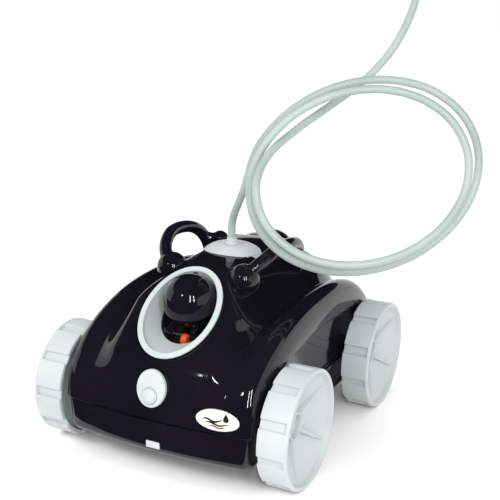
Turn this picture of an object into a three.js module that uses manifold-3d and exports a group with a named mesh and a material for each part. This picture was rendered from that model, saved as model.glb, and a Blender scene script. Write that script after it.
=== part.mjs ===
// Robotic pool cleaner: a jet-driven, four-wheeled cleaner under a glossy two-part shell.
// Millimetres, +Z up. The origin is on the floor, midway between the wheels; the front faces -Y.
import * as THREE from 'three';
import { mergeVertices } from 'three/addons/utils/BufferGeometryUtils.js';
import Module from 'manifold-3d';

const wasm = await Module();
wasm.setup();

// ---------- driving dimensions ----------
const GAP = 0.3;
const TURN = 2 * Math.PI;
const SEAM_Z = 75;
const SHELL_HALF_WIDTH = 125;
const SHELL_REACH = 204;
const CAVITY_SCALE = 0.972;
const CAVITY_DROP = 1.5;

const WHEEL_RADIUS = 70;
const WHEEL_WIDTH = 36.3;
const WHEEL_OUTER_X = 164.8;
const AXLE_Y = 127;
const AXLE_RADIUS = 4;
const LUG_COUNT = 10;
const LUG_HEIGHT = 2.6;
const RIB_COUNT = 5;
const RIB_PHASE = THREE.MathUtils.degToRad(37);
const HUB_FLOOR = 27;
const HUB_FRONT = 18.5;

const DECK_Z = 225.5;
const JET_TILT = THREE.MathUtils.degToRad(38);
const JET_CENTRE = new THREE.Vector3(0, -135.5, 183.4);
const BEZEL_HALF = [48, 64];
const RIM_HALF = [43.6, 59.6];
const MOUTH_HALF = [34, 42];
const MOUTH_DEPTH = -24;
const MOUTH_SHIFT = 12;
const HINGE_T = -14;
const HINGE_DEPTH = -27;
const POST_X = 23;
const DOME_RADIUS = 32;
const DOME_CENTRE = [0, 22, -8];
const DOME_BASE = -34;
const CATCH_X = -6;

const BUTTON_CENTRE = new THREE.Vector3(0, -202, 114);
const BUTTON_TILT = THREE.MathUtils.degToRad(78.7);
const BUTTON_HALF = [18.4, 21.8];
const PRESS_RADIUS = 9.5;
const PRESS_DROP = -8.5;
const BADGE_CENTRE = new THREE.Vector3(82, -197.2, 92);
const BADGE_HALF = [27, 12.5];
const LATCH_CENTRE = new THREE.Vector3(2, -199, 45);
const LATCH_SIZE = [18, 9];

const BELLY_Z = 30;
const LID_HALF = [112, 78];
const LID_THICKNESS = 3;
const INTAKE_LENGTH = 120;
const INTAKE_Y = 40;
const FLAP_HINGE_Y = 50;
const PANEL_X = 118;
const CORD_RADIUS = 4.75;
const GLAND_Y = -8;
const CAP_TOP_Z = 235;
const CAP_HEIGHT = 19;
const CAP_SCREWS = [[-17, -5], [14, 9]];

// ---------- materials ----------
const paint = (color, roughness, metalness = 0) =>
  new THREE.MeshStandardMaterial({ color, roughness, metalness });
const GLOSSY_BLACK = paint(0x0c0b10, 0.12);
const SATIN_BLACK = paint(0x151417, 0.4);
const LIGHT_GREY = paint(0xced4d4, 0.45);
const STEEL = paint(0xb9bcc0, 0.3, 1);
const ORANGE = paint(0xd8431c, 0.5);
const IVORY = paint(0xe2e0cf, 0.5);
const CORD_GREY = paint(0xb9c6bd, 0.55);
const MESH_WHITE = paint(0xe9ebe8, 0.9);

// ---------- small helpers ----------
function manifoldOf(geometry) {
  const bare = geometry.clone();
  bare.deleteAttribute('normal');
  bare.deleteAttribute('uv');
  const merged = mergeVertices(bare, 1e-4);
  const vertProperties = new Float32Array(merged.attributes.position.array);
  const triVerts = new Uint32Array(merged.index.array);
  return new wasm.Manifold(new wasm.Mesh({ numProp: 3, vertProperties, triVerts }));
}

function geometryOf(manifold) {
  const mesh = manifold.getMesh();
  const geometry = new THREE.BufferGeometry();
  geometry.setAttribute('position', new THREE.BufferAttribute(new Float32Array(mesh.vertProperties), 3));
  geometry.setIndex(new THREE.BufferAttribute(new Uint32Array(mesh.triVerts), 1));
  geometry.computeVertexNormals();
  return geometry;
}

function join(first, ...others) {
  return geometryOf(others.reduce((sum, other) => sum.add(manifoldOf(other)), manifoldOf(first)));
}

function cut(body, ...tools) {
  return geometryOf(tools.reduce((rest, tool) => rest.subtract(manifoldOf(tool)), manifoldOf(body)));
}

function box(size, centre) {
  return new THREE.BoxGeometry(...size).translate(...centre);
}

// A straight round bar, or a cone where the two radii differ, between two points.
function rod(from, to, startRadius, endRadius = startRadius, sides = 16) {
  const start = new THREE.Vector3(...from);
  const along = new THREE.Vector3(...to).sub(start);
  const bar = new THREE.CylinderGeometry(endRadius, startRadius, along.length(), sides);
  bar.translate(0, along.length() / 2, 0);
  const turn = new THREE.Quaternion().setFromUnitVectors(new THREE.Vector3(0, 1, 0), along.normalize());
  return bar.applyQuaternion(turn).translate(...start.toArray());
}

// A flat oval slab, or a cut-out, centred on the local origin and spanning two depths along Z.
function ovalSlab([halfX, halfY], bottom, top, sides = 28) {
  const slab = new THREE.CylinderGeometry(1, 1, top - bottom, sides).rotateX(Math.PI / 2);
  return slab.scale(halfX, halfY, 1).translate(0, 0, (top + bottom) / 2);
}

// Turns a grid of points into a closed ring: every row closes, and the last row meets the first.
function geometryFromQuads(rows) {
  const columns = rows[0].length;
  const index = [];
  for (let row = 0; row < rows.length; row += 1) {
    const next = (row + 1) % rows.length;
    for (let column = 0; column < columns; column += 1) {
      const beside = (column + 1) % columns;
      const [a, b] = [row * columns + column, row * columns + beside];
      const [c, d] = [next * columns + column, next * columns + beside];
      index.push(a, b, d, a, d, c);
    }
  }
  return outwardGeometry(rows.flat(), index);
}

// Builds the geometry and flips every triangle if the enclosed volume comes out negative.
function outwardGeometry(points, index) {
  let volume = 0;
  for (let corner = 0; corner < index.length; corner += 3) {
    const [a, b, c] = [0, 1, 2].map((step) => points[index[corner + step]]);
    volume += a.dot(b.clone().cross(c));
  }
  if (volume < 0) index.reverse();
  const geometry = new THREE.BufferGeometry().setFromPoints(points);
  geometry.setIndex(index);
  geometry.computeVertexNormals();
  return geometry;
}

// An oval ring whose cross-section is a closed list of [halfX, halfY, shift, depth].
function ovalLoft(section, sides) {
  const rows = section.map(([halfX, halfY, shift, depth]) =>
    Array.from({ length: sides }, (_, step) => {
      const angle = (TURN * step) / sides;
      return new THREE.Vector3(halfX * Math.cos(angle), shift + halfY * Math.sin(angle), depth);
    }));
  return geometryFromQuads(rows);
}

function node(name, geometry, material) {
  const mesh = new THREE.Mesh(geometry, material);
  mesh.name = name;
  return mesh;
}

function groupOf(...children) {
  const group = new THREE.Group();
  group.add(...children);
  return group;
}

// ---------- the shell's outer surface ----------
// The surface is star-shaped about the X axis line at the seam: a radius for each angle and place across.
const degrees = (value) => THREE.MathUtils.degToRad(value);
const smooth = (value) => THREE.MathUtils.smoothstep(value, 0, 1);
const mix = THREE.MathUtils.lerp;

// Radius of a polygon with rounded corners: faces are [direction, distance]; sharpness tightens corners.
function roundedPolygon(angle, faces, sharpness) {
  const total = faces.reduce((sum, [direction, distance]) => {
    const reach = Math.cos(angle - degrees(direction)) / distance;
    return reach > 0 ? sum + reach ** sharpness : sum;
  }, 0);
  return total ** (-1 / sharpness);
}

const HUMP_FACES = [[90, DECK_Z - SEAM_Z], [52, 168.8], [128, 168.8], [17, SHELL_REACH], [163, SHELL_REACH],
  [0, SHELL_REACH], [180, SHELL_REACH]];
const arch = (reach, height) => [[90, height], [0, reach], [180, reach]];
const humpRadius = (angle) => roundedPolygon(angle, HUMP_FACES, 28);
const valleyRadius = (angle) => roundedPolygon(angle, arch(SHELL_REACH, 99.5), 2.4);
const creaseRadius = (angle) => roundedPolygon(angle, arch(SHELL_REACH, 105.5), 2.4);
const crownRadius = (angle) => roundedPolygon(angle, arch(SHELL_REACH, 110), 2.4);
const lipRadius = (angle) => roundedPolygon(angle, arch(194, 78), 2.2);

// How many steps the surface takes round the arch and across each of its stretches.
const OUTER_STEPS = { round: 34, hump: 1, shoulder: 4, crease: 1, crown: 1, roll: 2 };
const CAVITY_STEPS = { round: 18, hump: 1, shoulder: 3, crease: 1, crown: 1, roll: 2 };

const VALLEY_X = 86;
const CREASE_X = 94;
const CROWN_X = 107;
const WAIST = 29;
const BOW = 0.04;
const SHOULDER = 60;

// Half width of the central hump: narrow at the deck, wide around the jets.
function humpHalfWidth(angle) {
  const away = Math.abs(THREE.MathUtils.radToDeg(angle) - 90);
  return mix(WAIST, SHOULDER, smooth((away - 26) / 24));
}

// The plan outline bows: the shell is a little shorter towards its sides.
function bowed(radius, x, angle) {
  return radius * (1 - BOW * (x / CROWN_X) ** 2 * Math.cos(angle) ** 4);
}

// Points [x, radius] of one half of the shell's section at an angle, from the middle to the lip.
function halfSection(angle, steps) {
  const edge = humpHalfWidth(angle);
  const hump = humpRadius(angle);
  const points = [];
  const stretch = (count, place) => {
    for (let step = 1; step <= count; step += 1) points.push(place(step / count));
  };
  points.push([0, hump]);
  stretch(steps.hump, (t) => [edge * t, hump - 1.5 * t * t]);
  stretch(steps.shoulder, (t) => [mix(edge, VALLEY_X, t),
    mix(hump - 1.5, valleyRadius(angle), mix(t, smooth(t), 0.5))]);
  stretch(steps.crease, (t) => [mix(VALLEY_X, CREASE_X, t),
    mix(valleyRadius(angle), creaseRadius(angle), smooth(t))]);
  stretch(steps.crown, (t) => [mix(CREASE_X, CROWN_X, t),
    mix(creaseRadius(angle), crownRadius(angle), Math.sin((t * Math.PI) / 2))]);
  stretch(steps.roll, (t) => [CROWN_X + (SHELL_HALF_WIDTH - CROWN_X) * Math.sin((t * Math.PI) / 2),
    mix(lipRadius(angle), crownRadius(angle), Math.cos((t * Math.PI) / 2))]);
  return points.map(([x, radius]) => [x, bowed(radius, x, angle)]);
}

// The closed solid under the shell's surface, down to the seam plane.
function shellSolid(steps) {
  const rows = [];
  for (let step = 0; step <= steps.round; step += 1) {
    const angle = Math.PI * (1 - step / steps.round);
    const half = halfSection(angle, steps);
    const right = half.map(([x, radius]) =>
      new THREE.Vector3(x, radius * Math.cos(angle), SEAM_Z + radius * Math.sin(angle)));
    const left = right.slice(1).reverse().map((point) => new THREE.Vector3(-point.x, point.y, point.z));
    rows.push([...left, ...right]);
  }
  return closeRibs(rows);
}

// Closes a row of ribs over a flat floor: the ribs' ends make the two flat sides.
function closeRibs(rows) {
  const columns = rows[0].length;
  const at = (row, column) => row * columns + column;
  const last = rows.length - 1;
  const index = [];
  for (let column = 0; column < columns - 1; column += 1) {
    for (let row = 0; row < last; row += 1) {
      index.push(at(row, column), at(row, column + 1), at(row + 1, column + 1));
      index.push(at(row, column), at(row + 1, column + 1), at(row + 1, column));
    }
    index.push(at(0, column), at(last, column + 1), at(0, column + 1));
    index.push(at(0, column), at(last, column), at(last, column + 1));
  }
  for (let row = 1; row < last; row += 1) {
    index.push(at(0, 0), at(row, 0), at(row + 1, 0));
    index.push(at(0, columns - 1), at(row + 1, columns - 1), at(row, columns - 1));
  }
  return outwardGeometry(rows.flat(), index);
}

// ---------- placing things on the sloped jet face and the near-vertical front face ----------
function onJetFace(geometry) {
  return geometry.rotateX(JET_TILT).translate(...JET_CENTRE.toArray());
}

function onButtonFace(geometry) {
  return geometry.rotateX(BUTTON_TILT).translate(...BUTTON_CENTRE.toArray());
}

function onBadgeFace(geometry) {
  return geometry.rotateX(degrees(88)).rotateZ(degrees(6.3)).translate(...BADGE_CENTRE.toArray());
}

const ENDS = [
  { name: 'front', turn: 0 },
  { name: 'rear', turn: Math.PI },
];
const SIDES = [
  { name: 'left', sign: -1 },
  { name: 'right', sign: 1 },
];

// ---------- casing ----------
function sideOpening(halfLength, height, sign, inner, outer) {
  const outline = [];
  for (let step = 0; step <= 24; step += 1) {
    const angle = (Math.PI * step) / 24;
    const radius = roundedPolygon(angle, arch(halfLength, height), 2.2);
    outline.push(new THREE.Vector2(radius * Math.cos(angle), radius * Math.sin(angle)));
  }
  const slab = new THREE.ExtrudeGeometry(new THREE.Shape(outline), { depth: outer - inner, bevelEnabled: false });
  slab.rotateX(Math.PI / 2).rotateZ(Math.PI / 2);
  slab.translate(sign > 0 ? inner : -outer, 0, SEAM_Z);
  return slab;
}

function upperShell() {
  const outer = shellSolid(OUTER_STEPS);
  const cavity = shellSolid(CAVITY_STEPS);
  cavity.translate(0, 0, -SEAM_Z).scale(CAVITY_SCALE, CAVITY_SCALE + 0.01, CAVITY_SCALE);
  cavity.translate(0, 0, SEAM_Z - CAVITY_DROP);
  const tools = [cavity];
  for (const end of ENDS) {
    tools.push(onJetFace(ovalSlab(RIM_HALF.map((half) => half + 2 * GAP), -14, 12)).rotateZ(end.turn));
    tools.push(onButtonFace(ovalSlab(BUTTON_HALF.map((half) => half + GAP), -12, 8, 24)).rotateZ(end.turn));
  }
  tools.push(onBadgeFace(ovalSlab(BADGE_HALF.map((half) => half + GAP), -9, 8, 24)));
  for (const side of SIDES) {
    tools.push(sideOpening(174, 70, side.sign, PANEL_X - 2, SHELL_HALF_WIDTH + 5));
    for (const [x, y, z] of HANDLE_BALLS.map((ball) => ball.centre)) {
      tools.push(rod([side.sign * x, y, z - 60], [side.sign * x, y, z], 5, 5, 12));
    }
  }
  tools.push(rod([0, GLAND_Y, 200], [0, GLAND_Y, 240], 6, 6, 12));
  return node('upper_shell', cut(outer, ...tools), GLOSSY_BLACK);
}

// One end of the lower tub in section, from the seam down and in: [reach, depth below the seam].
const TUB_END = [[204, 0], [202.5, 22], [200, 37], [191, 44], [172, 45]];

// The lower tub: upright ends that lean in a little, a flat belly and sides that roll under.
function tubSolid(halfWidth, inset, shift) {
  const roll = 12;
  const stations = [-1, -0.92, -0.7, 0, 0.7, 0.92, 1];
  const end = TUB_END.map(([reach, depth]) => [reach - inset, Math.min(depth, SEAM_Z - BELLY_Z - inset)]);
  const profile = [...end.map(([reach, depth]) => [-reach, depth]), ...end.reverse()];
  const rows = profile.map(([reach, depth]) => stations.map((station) => {
    const rolled = Math.abs(station) === 1 ? roll : 0;
    const x = station * halfWidth;
    const length = Math.abs(reach) * (1 - BOW * (x / CROWN_X) ** 2) - rolled;
    const drop = depth > roll ? depth - rolled : depth;
    return new THREE.Vector3(x, Math.sign(reach) * length, SEAM_Z - drop);
  }));
  return closeRibs(rows).translate(0, 0, shift);
}

function lowerShell() {
  const outer = tubSolid(PANEL_X + 1, 0, -GAP);
  const cavity = tubSolid(PANEL_X - 2, 3, 1);
  const opening = box([2 * LID_HALF[0] - 16, 2 * LID_HALF[1] - 16, 40], [0, 0, BELLY_Z]);
  const recess = box([2 * LID_HALF[0] + 1, 2 * LID_HALF[1] + 1, 3.4], [0, 0, BELLY_Z]);
  const latchHoles = ENDS.map((end) =>
    box([LATCH_SIZE[0] + 2 * GAP, 30, LATCH_SIZE[1] + 2 * GAP], LATCH_CENTRE.toArray()).rotateZ(end.turn));
  return node('lower_shell', cut(outer, cavity, opening, recess, ...latchHoles), GLOSSY_BLACK);
}

function sidePanels() {
  return SIDES.map((side) =>
    node(`${side.name}_side_panel`, sideOpening(176, 73, side.sign, PANEL_X - 0.5, PANEL_X + 2.5), GLOSSY_BLACK));
}

function bottomLid() {
  const plate = box([2 * LID_HALF[0], 2 * LID_HALF[1], LID_THICKNESS], [0, 0, BELLY_Z - 0.2]);
  const slots = [-1, 1].map((sign) => box([INTAKE_LENGTH, 14, 10], [0, sign * INTAKE_Y, BELLY_Z]));
  const rail = [-1, 1].map((sign) => box([150, 4, 5], [0, sign * 68, BELLY_Z - 2.5]));
  return node('bottom_lid', cut(join(plate, ...rail), ...slots), SATIN_BLACK);
}

// ---------- intake flaps ----------
function intakeFlap(end) {
  const leafZ = BELLY_Z + LID_THICKNESS / 2 + 0.9;
  const leaf = box([INTAKE_LENGTH + 8, 20, 1.2], [0, -(FLAP_HINGE_Y - 10), leafZ]);
  const barrel = rod([-60, -FLAP_HINGE_Y, leafZ + 0.3], [60, -FLAP_HINGE_Y, leafZ + 0.3], 1.2, 1.2, 10);
  return node(`${end.name}_intake_flap`, join(leaf, barrel).rotateZ(end.turn), SATIN_BLACK);
}

// ---------- jet faces ----------
function bezel(end) {
  const [halfX, halfY] = MOUTH_HALF;
  const section = [[...BEZEL_HALF, 0, 3], [...BEZEL_HALF, 0, 0.5],
    [...RIM_HALF, 0, 0.5], [...RIM_HALF, 0, -3],
    [halfX + 2.5, halfY + 2.8, MOUTH_SHIFT, MOUTH_DEPTH + 2],
    [halfX + 2.5, halfY + 2.8, MOUTH_SHIFT, MOUTH_DEPTH],
    [halfX, halfY, MOUTH_SHIFT, MOUTH_DEPTH], [halfX, halfY, MOUTH_SHIFT, MOUTH_DEPTH + 4],
    [halfX + 7, halfY + 15, 0, -2], [halfX + 7.5, halfY + 15.5, 0, 3]];
  const notch = box([6.6, 12, 17.6], [CATCH_X, 56, -8.4]);
  return node(`${end.name}_bezel`, onJetFace(cut(ovalLoft(section, 28), notch)), LIGHT_GREY);
}

function bezelCatch(end) {
  const body = box([6, 4.4, 13], [CATCH_X, 55.9, -8]);
  const slot = box([2.4, 3, 6], [CATCH_X, 54, -3]);
  return node(`${end.name}_catch`, onJetFace(cut(body, slot)), SATIN_BLACK);
}

function nozzleCup(end) {
  const section = [[36.2, 44.4, MOUTH_SHIFT, -24.4], [30, 34, 6, -54], [17, 17, 4, -54], [17, 17, 4, -51.5],
    [27.4, 31.4, 6, -51.5], [33.6, 41.6, MOUTH_SHIFT, -24.4]];
  const post = (sign) => box([5, 13, 20], [sign * POST_X, HINGE_T - 2, HINGE_DEPTH - 8]);
  const bore = rod([-30, HINGE_T, HINGE_DEPTH], [30, HINGE_T, HINGE_DEPTH], 1.9, 1.9, 12);
  const cup = join(ovalLoft(section, 24), post(-1), post(1));
  return node(`${end.name}_nozzle_cup`, onJetFace(cut(cup, bore)), SATIN_BLACK);
}

function jetFlap(end) {
  const dome = new THREE.SphereGeometry(1, 20, 14);
  const ball = (radius) => dome.clone().scale(radius, radius, radius).translate(...DOME_CENTRE);
  const below = box([90, 90, 40], [0, DOME_CENTRE[1], DOME_BASE - 20]);
  const knuckles = [-1, 1].map((sign) =>
    rod([sign * 11, HINGE_T, HINGE_DEPTH], [sign * 18, HINGE_T, HINGE_DEPTH], 4.4, 4.4, 14));
  const webs = [-1, 1].map((sign) => box([7, 17, 5], [sign * 14.5, HINGE_T + 8, HINGE_DEPTH + 5]));
  const bore = rod([-30, HINGE_T, HINGE_DEPTH], [30, HINGE_T, HINGE_DEPTH], 1.9, 1.9, 12);
  const bowl = cut(ball(DOME_RADIUS), ball(DOME_RADIUS - 2.8), below);
  return node(`${end.name}_jet_flap`, onJetFace(cut(join(bowl, ...knuckles, ...webs), bore)), GLOSSY_BLACK);
}

function flapPin(end) {
  const pin = rod([-25, HINGE_T, HINGE_DEPTH], [25, HINGE_T, HINGE_DEPTH], 1.5, 1.5, 12);
  return node(`${end.name}_flap_pin`, onJetFace(pin), STEEL);
}

function flapStop(end) {
  const roller = new THREE.CylinderGeometry(1, 1, 8, 20).rotateZ(Math.PI / 2);
  roller.scale(1, 7.2, 8).translate(4.5, HINGE_T - 4, HINGE_DEPTH - 3.6);
  const bore = rod([-30, HINGE_T, HINGE_DEPTH], [30, HINGE_T, HINGE_DEPTH], 1.8, 1.8, 12);
  return node(`${end.name}_flap_stop`, onJetFace(cut(roller, bore)), ORANGE);
}

// ---------- front and rear face fittings ----------
function buttonPlate(end) {
  const plate = ovalSlab(BUTTON_HALF, -5, 1.2, 24);
  const hole = rod([0, PRESS_DROP, -20], [0, PRESS_DROP, 20], PRESS_RADIUS + GAP, PRESS_RADIUS + GAP);
  return node(`${end.name}_button_plate`, onButtonFace(cut(plate, hole)), LIGHT_GREY);
}

function pressButton(end) {
  const stem = rod([0, PRESS_DROP, -8], [0, PRESS_DROP, 1.5], PRESS_RADIUS, PRESS_RADIUS);
  const dome = new THREE.SphereGeometry(1, 16, 6).rotateX(Math.PI / 2);
  dome.scale(PRESS_RADIUS - 0.1, PRESS_RADIUS - 0.1, 4.2).translate(0, PRESS_DROP, 1.5);
  return node(`${end.name}_release_button`, onButtonFace(join(stem, dome)), LIGHT_GREY);
}

function lidLatch(end) {
  const tab = box([LATCH_SIZE[0], 9, LATCH_SIZE[1]], [0, 2.5, 0]);
  const hook = box([LATCH_SIZE[0] - 8, 5, 4], [0, 8, -2]);
  return node(`${end.name}_lid_latch`, join(tab, hook).translate(...LATCH_CENTRE.toArray()), LIGHT_GREY);
}

function emblem() {
  return node('emblem_plate', onBadgeFace(ovalSlab(BADGE_HALF, -5, 0.8, 24)), IVORY);
}

// ---------- handles ----------
const HANDLE_RADIUS = 7.5;
const HANDLE_BALLS = [
  { centre: [48.5, -70.6, 212.5], radius: 18.3 },
  { centre: [48, 54, 217], radius: 11 },
];
const HANDLE_ARCH = [[49, -71, 214], [57, -69, 224], [65, -59, 233], [72, -38, 242], [75, -12, 243.5],
  [74, 12, 240.5], [72, 28, 235], [69, 41, 226], [65, 49, 213], [61, 54, 196]];

function handleLoop(side) {
  const path = new THREE.CatmullRomCurve3(
    HANDLE_ARCH.map(([x, y, z]) => new THREE.Vector3(side.sign * x, y, z)), false, 'centripetal');
  const ring = Array.from({ length: 8 }, (_, step) => {
    const angle = (TURN * step) / 8;
    return new THREE.Vector2(HANDLE_RADIUS * Math.cos(angle), HANDLE_RADIUS * Math.sin(angle));
  });
  return new THREE.ExtrudeGeometry(new THREE.Shape(ring), { steps: 20, extrudePath: path });
}

// A loop with a ball at its front foot and a knob beside its rear leg, seated on the shell.
function handle(side, shellBlank) {
  const balls = HANDLE_BALLS.map(({ centre: [x, y, z], radius }) =>
    new THREE.SphereGeometry(radius, 14, 8).translate(side.sign * x, y, z));
  const [x, y, z] = HANDLE_BALLS[1].centre;
  const link = rod([side.sign * x, y, z], [side.sign * 67, 45, 219], 7, 7, 12);
  const loop = join(handleLoop(side), ...balls, link);
  return node(`${side.name}_handle`, cut(loop, shellBlank.clone()), GLOSSY_BLACK);
}

// ---------- cable entry on the deck ----------
function cableCap(shellBlank) {
  const dome = new THREE.SphereGeometry(1, 24, 10).rotateX(Math.PI / 2);
  dome.scale(40, 37, CAP_HEIGHT).translate(-1, -3, CAP_TOP_Z - CAP_HEIGHT);
  const seat = rod([0, GLAND_Y, CAP_TOP_Z - 2], [0, GLAND_Y, CAP_TOP_Z + 5], 9);
  const screwHoles = CAP_SCREWS.map(([x, y]) => rod([x, y, CAP_TOP_Z - 12], [x, y, CAP_TOP_Z + 9], 3.3, 3.3, 12));
  return node('cable_cap', cut(dome, shellBlank.clone(), seat, ...screwHoles), LIGHT_GREY);
}

function capScrews() {
  return CAP_SCREWS.map(([x, y], place) => {
    const shank = rod([x, y, CAP_TOP_Z - 9.5], [x, y, CAP_TOP_Z - 2.6], 3, 3, 12);
    return node(`${SIDES[place].name}_cap_screw`, shank, LIGHT_GREY);
  });
}

const GLAND_BASE_Z = CAP_TOP_Z - 1.7;
const GLAND_TOP_Z = CAP_TOP_Z + 8;

function cableGland() {
  const flange = rod([0, GLAND_Y, GLAND_BASE_Z], [0, GLAND_Y, GLAND_BASE_Z + 3], 8.7, 8.2);
  const collar = rod([0, GLAND_Y, GLAND_BASE_Z + 2], [0, GLAND_Y, GLAND_TOP_Z], 6.8, 5.8);
  return node('cable_gland', join(flange, collar), LIGHT_GREY);
}

// ---------- wheels and axles ----------
// Sections of the rim: [distance in from the outer face, radius]; the tread points rise on each lug.
function wheelBody() {
  const tread = WHEEL_RADIUS;
  const section = [[0, tread - 0.8, 0], [4, tread, 0], [4.6, tread, 1], [WHEEL_WIDTH, tread, 1],
    [WHEEL_WIDTH, tread - 6, 0], [24, tread - 7, 0], [HUB_FRONT + 10, 15.5, 0], [HUB_FRONT + 6, 17, 0],
    [5, tread - 6.5, 0], [0, tread - 5, 0]];
  const lugAngles = [0, 0.36, 0.72, 0.75, 0.97];
  const rows = [];
  for (let lug = 0; lug < LUG_COUNT; lug += 1) {
    for (const part of lugAngles) {
      const angle = (TURN * (lug + part)) / LUG_COUNT;
      const groove = part > 0.73 ? LUG_HEIGHT : 0;
      rows.push(section.map(([inward, radius, onLug]) => {
        const reach = radius - onLug * groove;
        return new THREE.Vector3(-inward, reach * Math.cos(angle), reach * Math.sin(angle));
      }));
    }
  }
  return geometryFromQuads(rows);
}

function wheelGeometry(lugPhase) {
  const rim = wheelBody().rotateX(lugPhase);
  const ribs = Array.from({ length: RIB_COUNT }, (_, rib) =>
    box([14, 44, 2.6], [-15.5, 38, 0]).rotateX((TURN * rib) / RIB_COUNT + RIB_PHASE));
  const hub = rod([-WHEEL_WIDTH, 0, 0], [-HUB_FRONT, 0, 0], 16.6);
  const blind = rod([-HUB_FLOOR, 0, 0], [10, 0, 0], 14);
  const bore = rod([-WHEEL_WIDTH - 5, 0, 0], [-HUB_FLOOR + 5, 0, 0], AXLE_RADIUS + GAP, AXLE_RADIUS + GAP, 12);
  return cut(join(rim, ...ribs, hub), blind, bore);
}

function capGeometry() {
  return rod([-HUB_FLOOR + GAP, 0, 0], [-HUB_FLOOR + 3, 0, 0], 13.4);
}

function stubAxle() {
  return rod([-WHEEL_WIDTH - 6.4, 0, 0], [-HUB_FLOOR - 0.4, 0, 0], AXLE_RADIUS, AXLE_RADIUS, 12);
}

const HOUSING_THICKNESS = 7;

function axleHousing() {
  const disc = rod([-WHEEL_WIDTH - 0.8 - HOUSING_THICKNESS, 0, 0], [-WHEEL_WIDTH - 0.8, 0, 0], 22, 17);
  const bore = rod([-WHEEL_WIDTH - 6.8, 0, 0], [0, 0, 0], AXLE_RADIUS + GAP, AXLE_RADIUS + GAP, 12);
  return cut(disc, bore);
}

const LUG_PHASES = { right_front: 54, right_rear: 56, left_front: 45, left_rear: 49 };

function wheelCorner(side, end) {
  const prefix = `${end.name}_${side.name}`;
  const lugPhase = degrees(LUG_PHASES[`${side.name}_${end.name}`]);
  const corner = groupOf(
    node(`${prefix}_wheel`, wheelGeometry(lugPhase), LIGHT_GREY),
    node(`${prefix}_hub_cap`, capGeometry(), LIGHT_GREY),
    node(`${prefix}_axle`, stubAxle(), STEEL),
    node(`${prefix}_axle_housing`, axleHousing(), SATIN_BLACK),
  );
  corner.position.set(side.sign * WHEEL_OUTER_X, (end.turn ? 1 : -1) * AXLE_Y, WHEEL_RADIUS);
  corner.rotation.z = side.sign > 0 ? 0 : Math.PI;
  return corner;
}

// ---------- pump and filter inside ----------
const MOTOR_RADIUS = 34;
const MOTOR_BASE_Z = 74;
const MOTOR_TOP_Z = 124;
const DUCT_BASE_Z = 128;
const DUCT_TOP_Z = 172;
const DUCT_RADIUS = 42;

function pumpMotor() {
  const can = rod([0, 0, MOTOR_BASE_Z], [0, 0, MOTOR_TOP_Z], MOTOR_RADIUS, MOTOR_RADIUS, 20);
  const flange = rod([0, 0, MOTOR_TOP_Z - 4], [0, 0, MOTOR_TOP_Z], DUCT_RADIUS, DUCT_RADIUS, 20);
  const bore = rod([0, 0, MOTOR_TOP_Z - 20], [0, 0, MOTOR_TOP_Z + 5], 3.4, 3.4, 12);
  return node('pump_motor', cut(join(can, flange), bore), SATIN_BLACK);
}

function motorShaft() {
  return node('motor_shaft', rod([0, 0, MOTOR_TOP_Z - 18], [0, 0, MOTOR_TOP_Z + 22], 3, 3, 12), STEEL);
}

function impeller() {
  const disc = rod([0, 0, MOTOR_TOP_Z + 5], [0, 0, MOTOR_TOP_Z + 8], 26);
  const boss = rod([0, 0, MOTOR_TOP_Z + 5], [0, 0, MOTOR_TOP_Z + 20], 8, 6, 12);
  const blades = Array.from({ length: 5 }, (_, blade) =>
    box([20, 1.8, 11], [15, 0, MOTOR_TOP_Z + 12]).rotateZ((TURN * blade) / 5));
  const bore = rod([0, 0, MOTOR_TOP_Z], [0, 0, MOTOR_TOP_Z + 30], 3.3, 3.3, 12);
  return node('impeller', cut(join(disc, boss, ...blades), bore), LIGHT_GREY);
}

// A round drum over the impeller with one arm to each nozzle cup, cut flush under the cup's floor.
function jetDuct() {
  const wall = 3;
  const armZ = 147;
  const arm = (radius, from, to) => rod([0, from, armZ], [0, to, armZ], radius, radius, 18);
  const drum = rod([0, 0, DUCT_BASE_Z], [0, 0, DUCT_TOP_Z], DUCT_RADIUS, DUCT_RADIUS, 20);
  const room = rod([0, 0, DUCT_BASE_Z - 5], [0, 0, DUCT_TOP_Z - wall], DUCT_RADIUS - wall, DUCT_RADIUS - wall, 20);
  const cupRooms = ENDS.map((end) => onJetFace(box([120, 160, 90], [0, 0, 45 - 54.4])).rotateZ(end.turn));
  const outer = join(drum, arm(18, -120, 120));
  return node('jet_duct', cut(outer, ...cupRooms, room, arm(15, -125, 125)), SATIN_BLACK);
}

function filterFrame() {
  const outer = box([196, 124, 7], [0, 0, 38]);
  return node('filter_frame', cut(outer, box([184, 112, 20], [0, 0, 38])), SATIN_BLACK);
}

function filterBag() {
  const outline = new THREE.Shape();
  outline.absarc(66, 30, 20, 0, Math.PI / 2);
  outline.absarc(-66, 30, 20, Math.PI / 2, Math.PI);
  outline.absarc(-66, -30, 20, Math.PI, 1.5 * Math.PI);
  outline.absarc(66, -30, 20, 1.5 * Math.PI, TURN);
  const bag = new THREE.ExtrudeGeometry(outline, { depth: 14, bevelEnabled: false, curveSegments: 5 });
  return node('filter_bag', bag.translate(0, 0, 57), MESH_WHITE);
}

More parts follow.
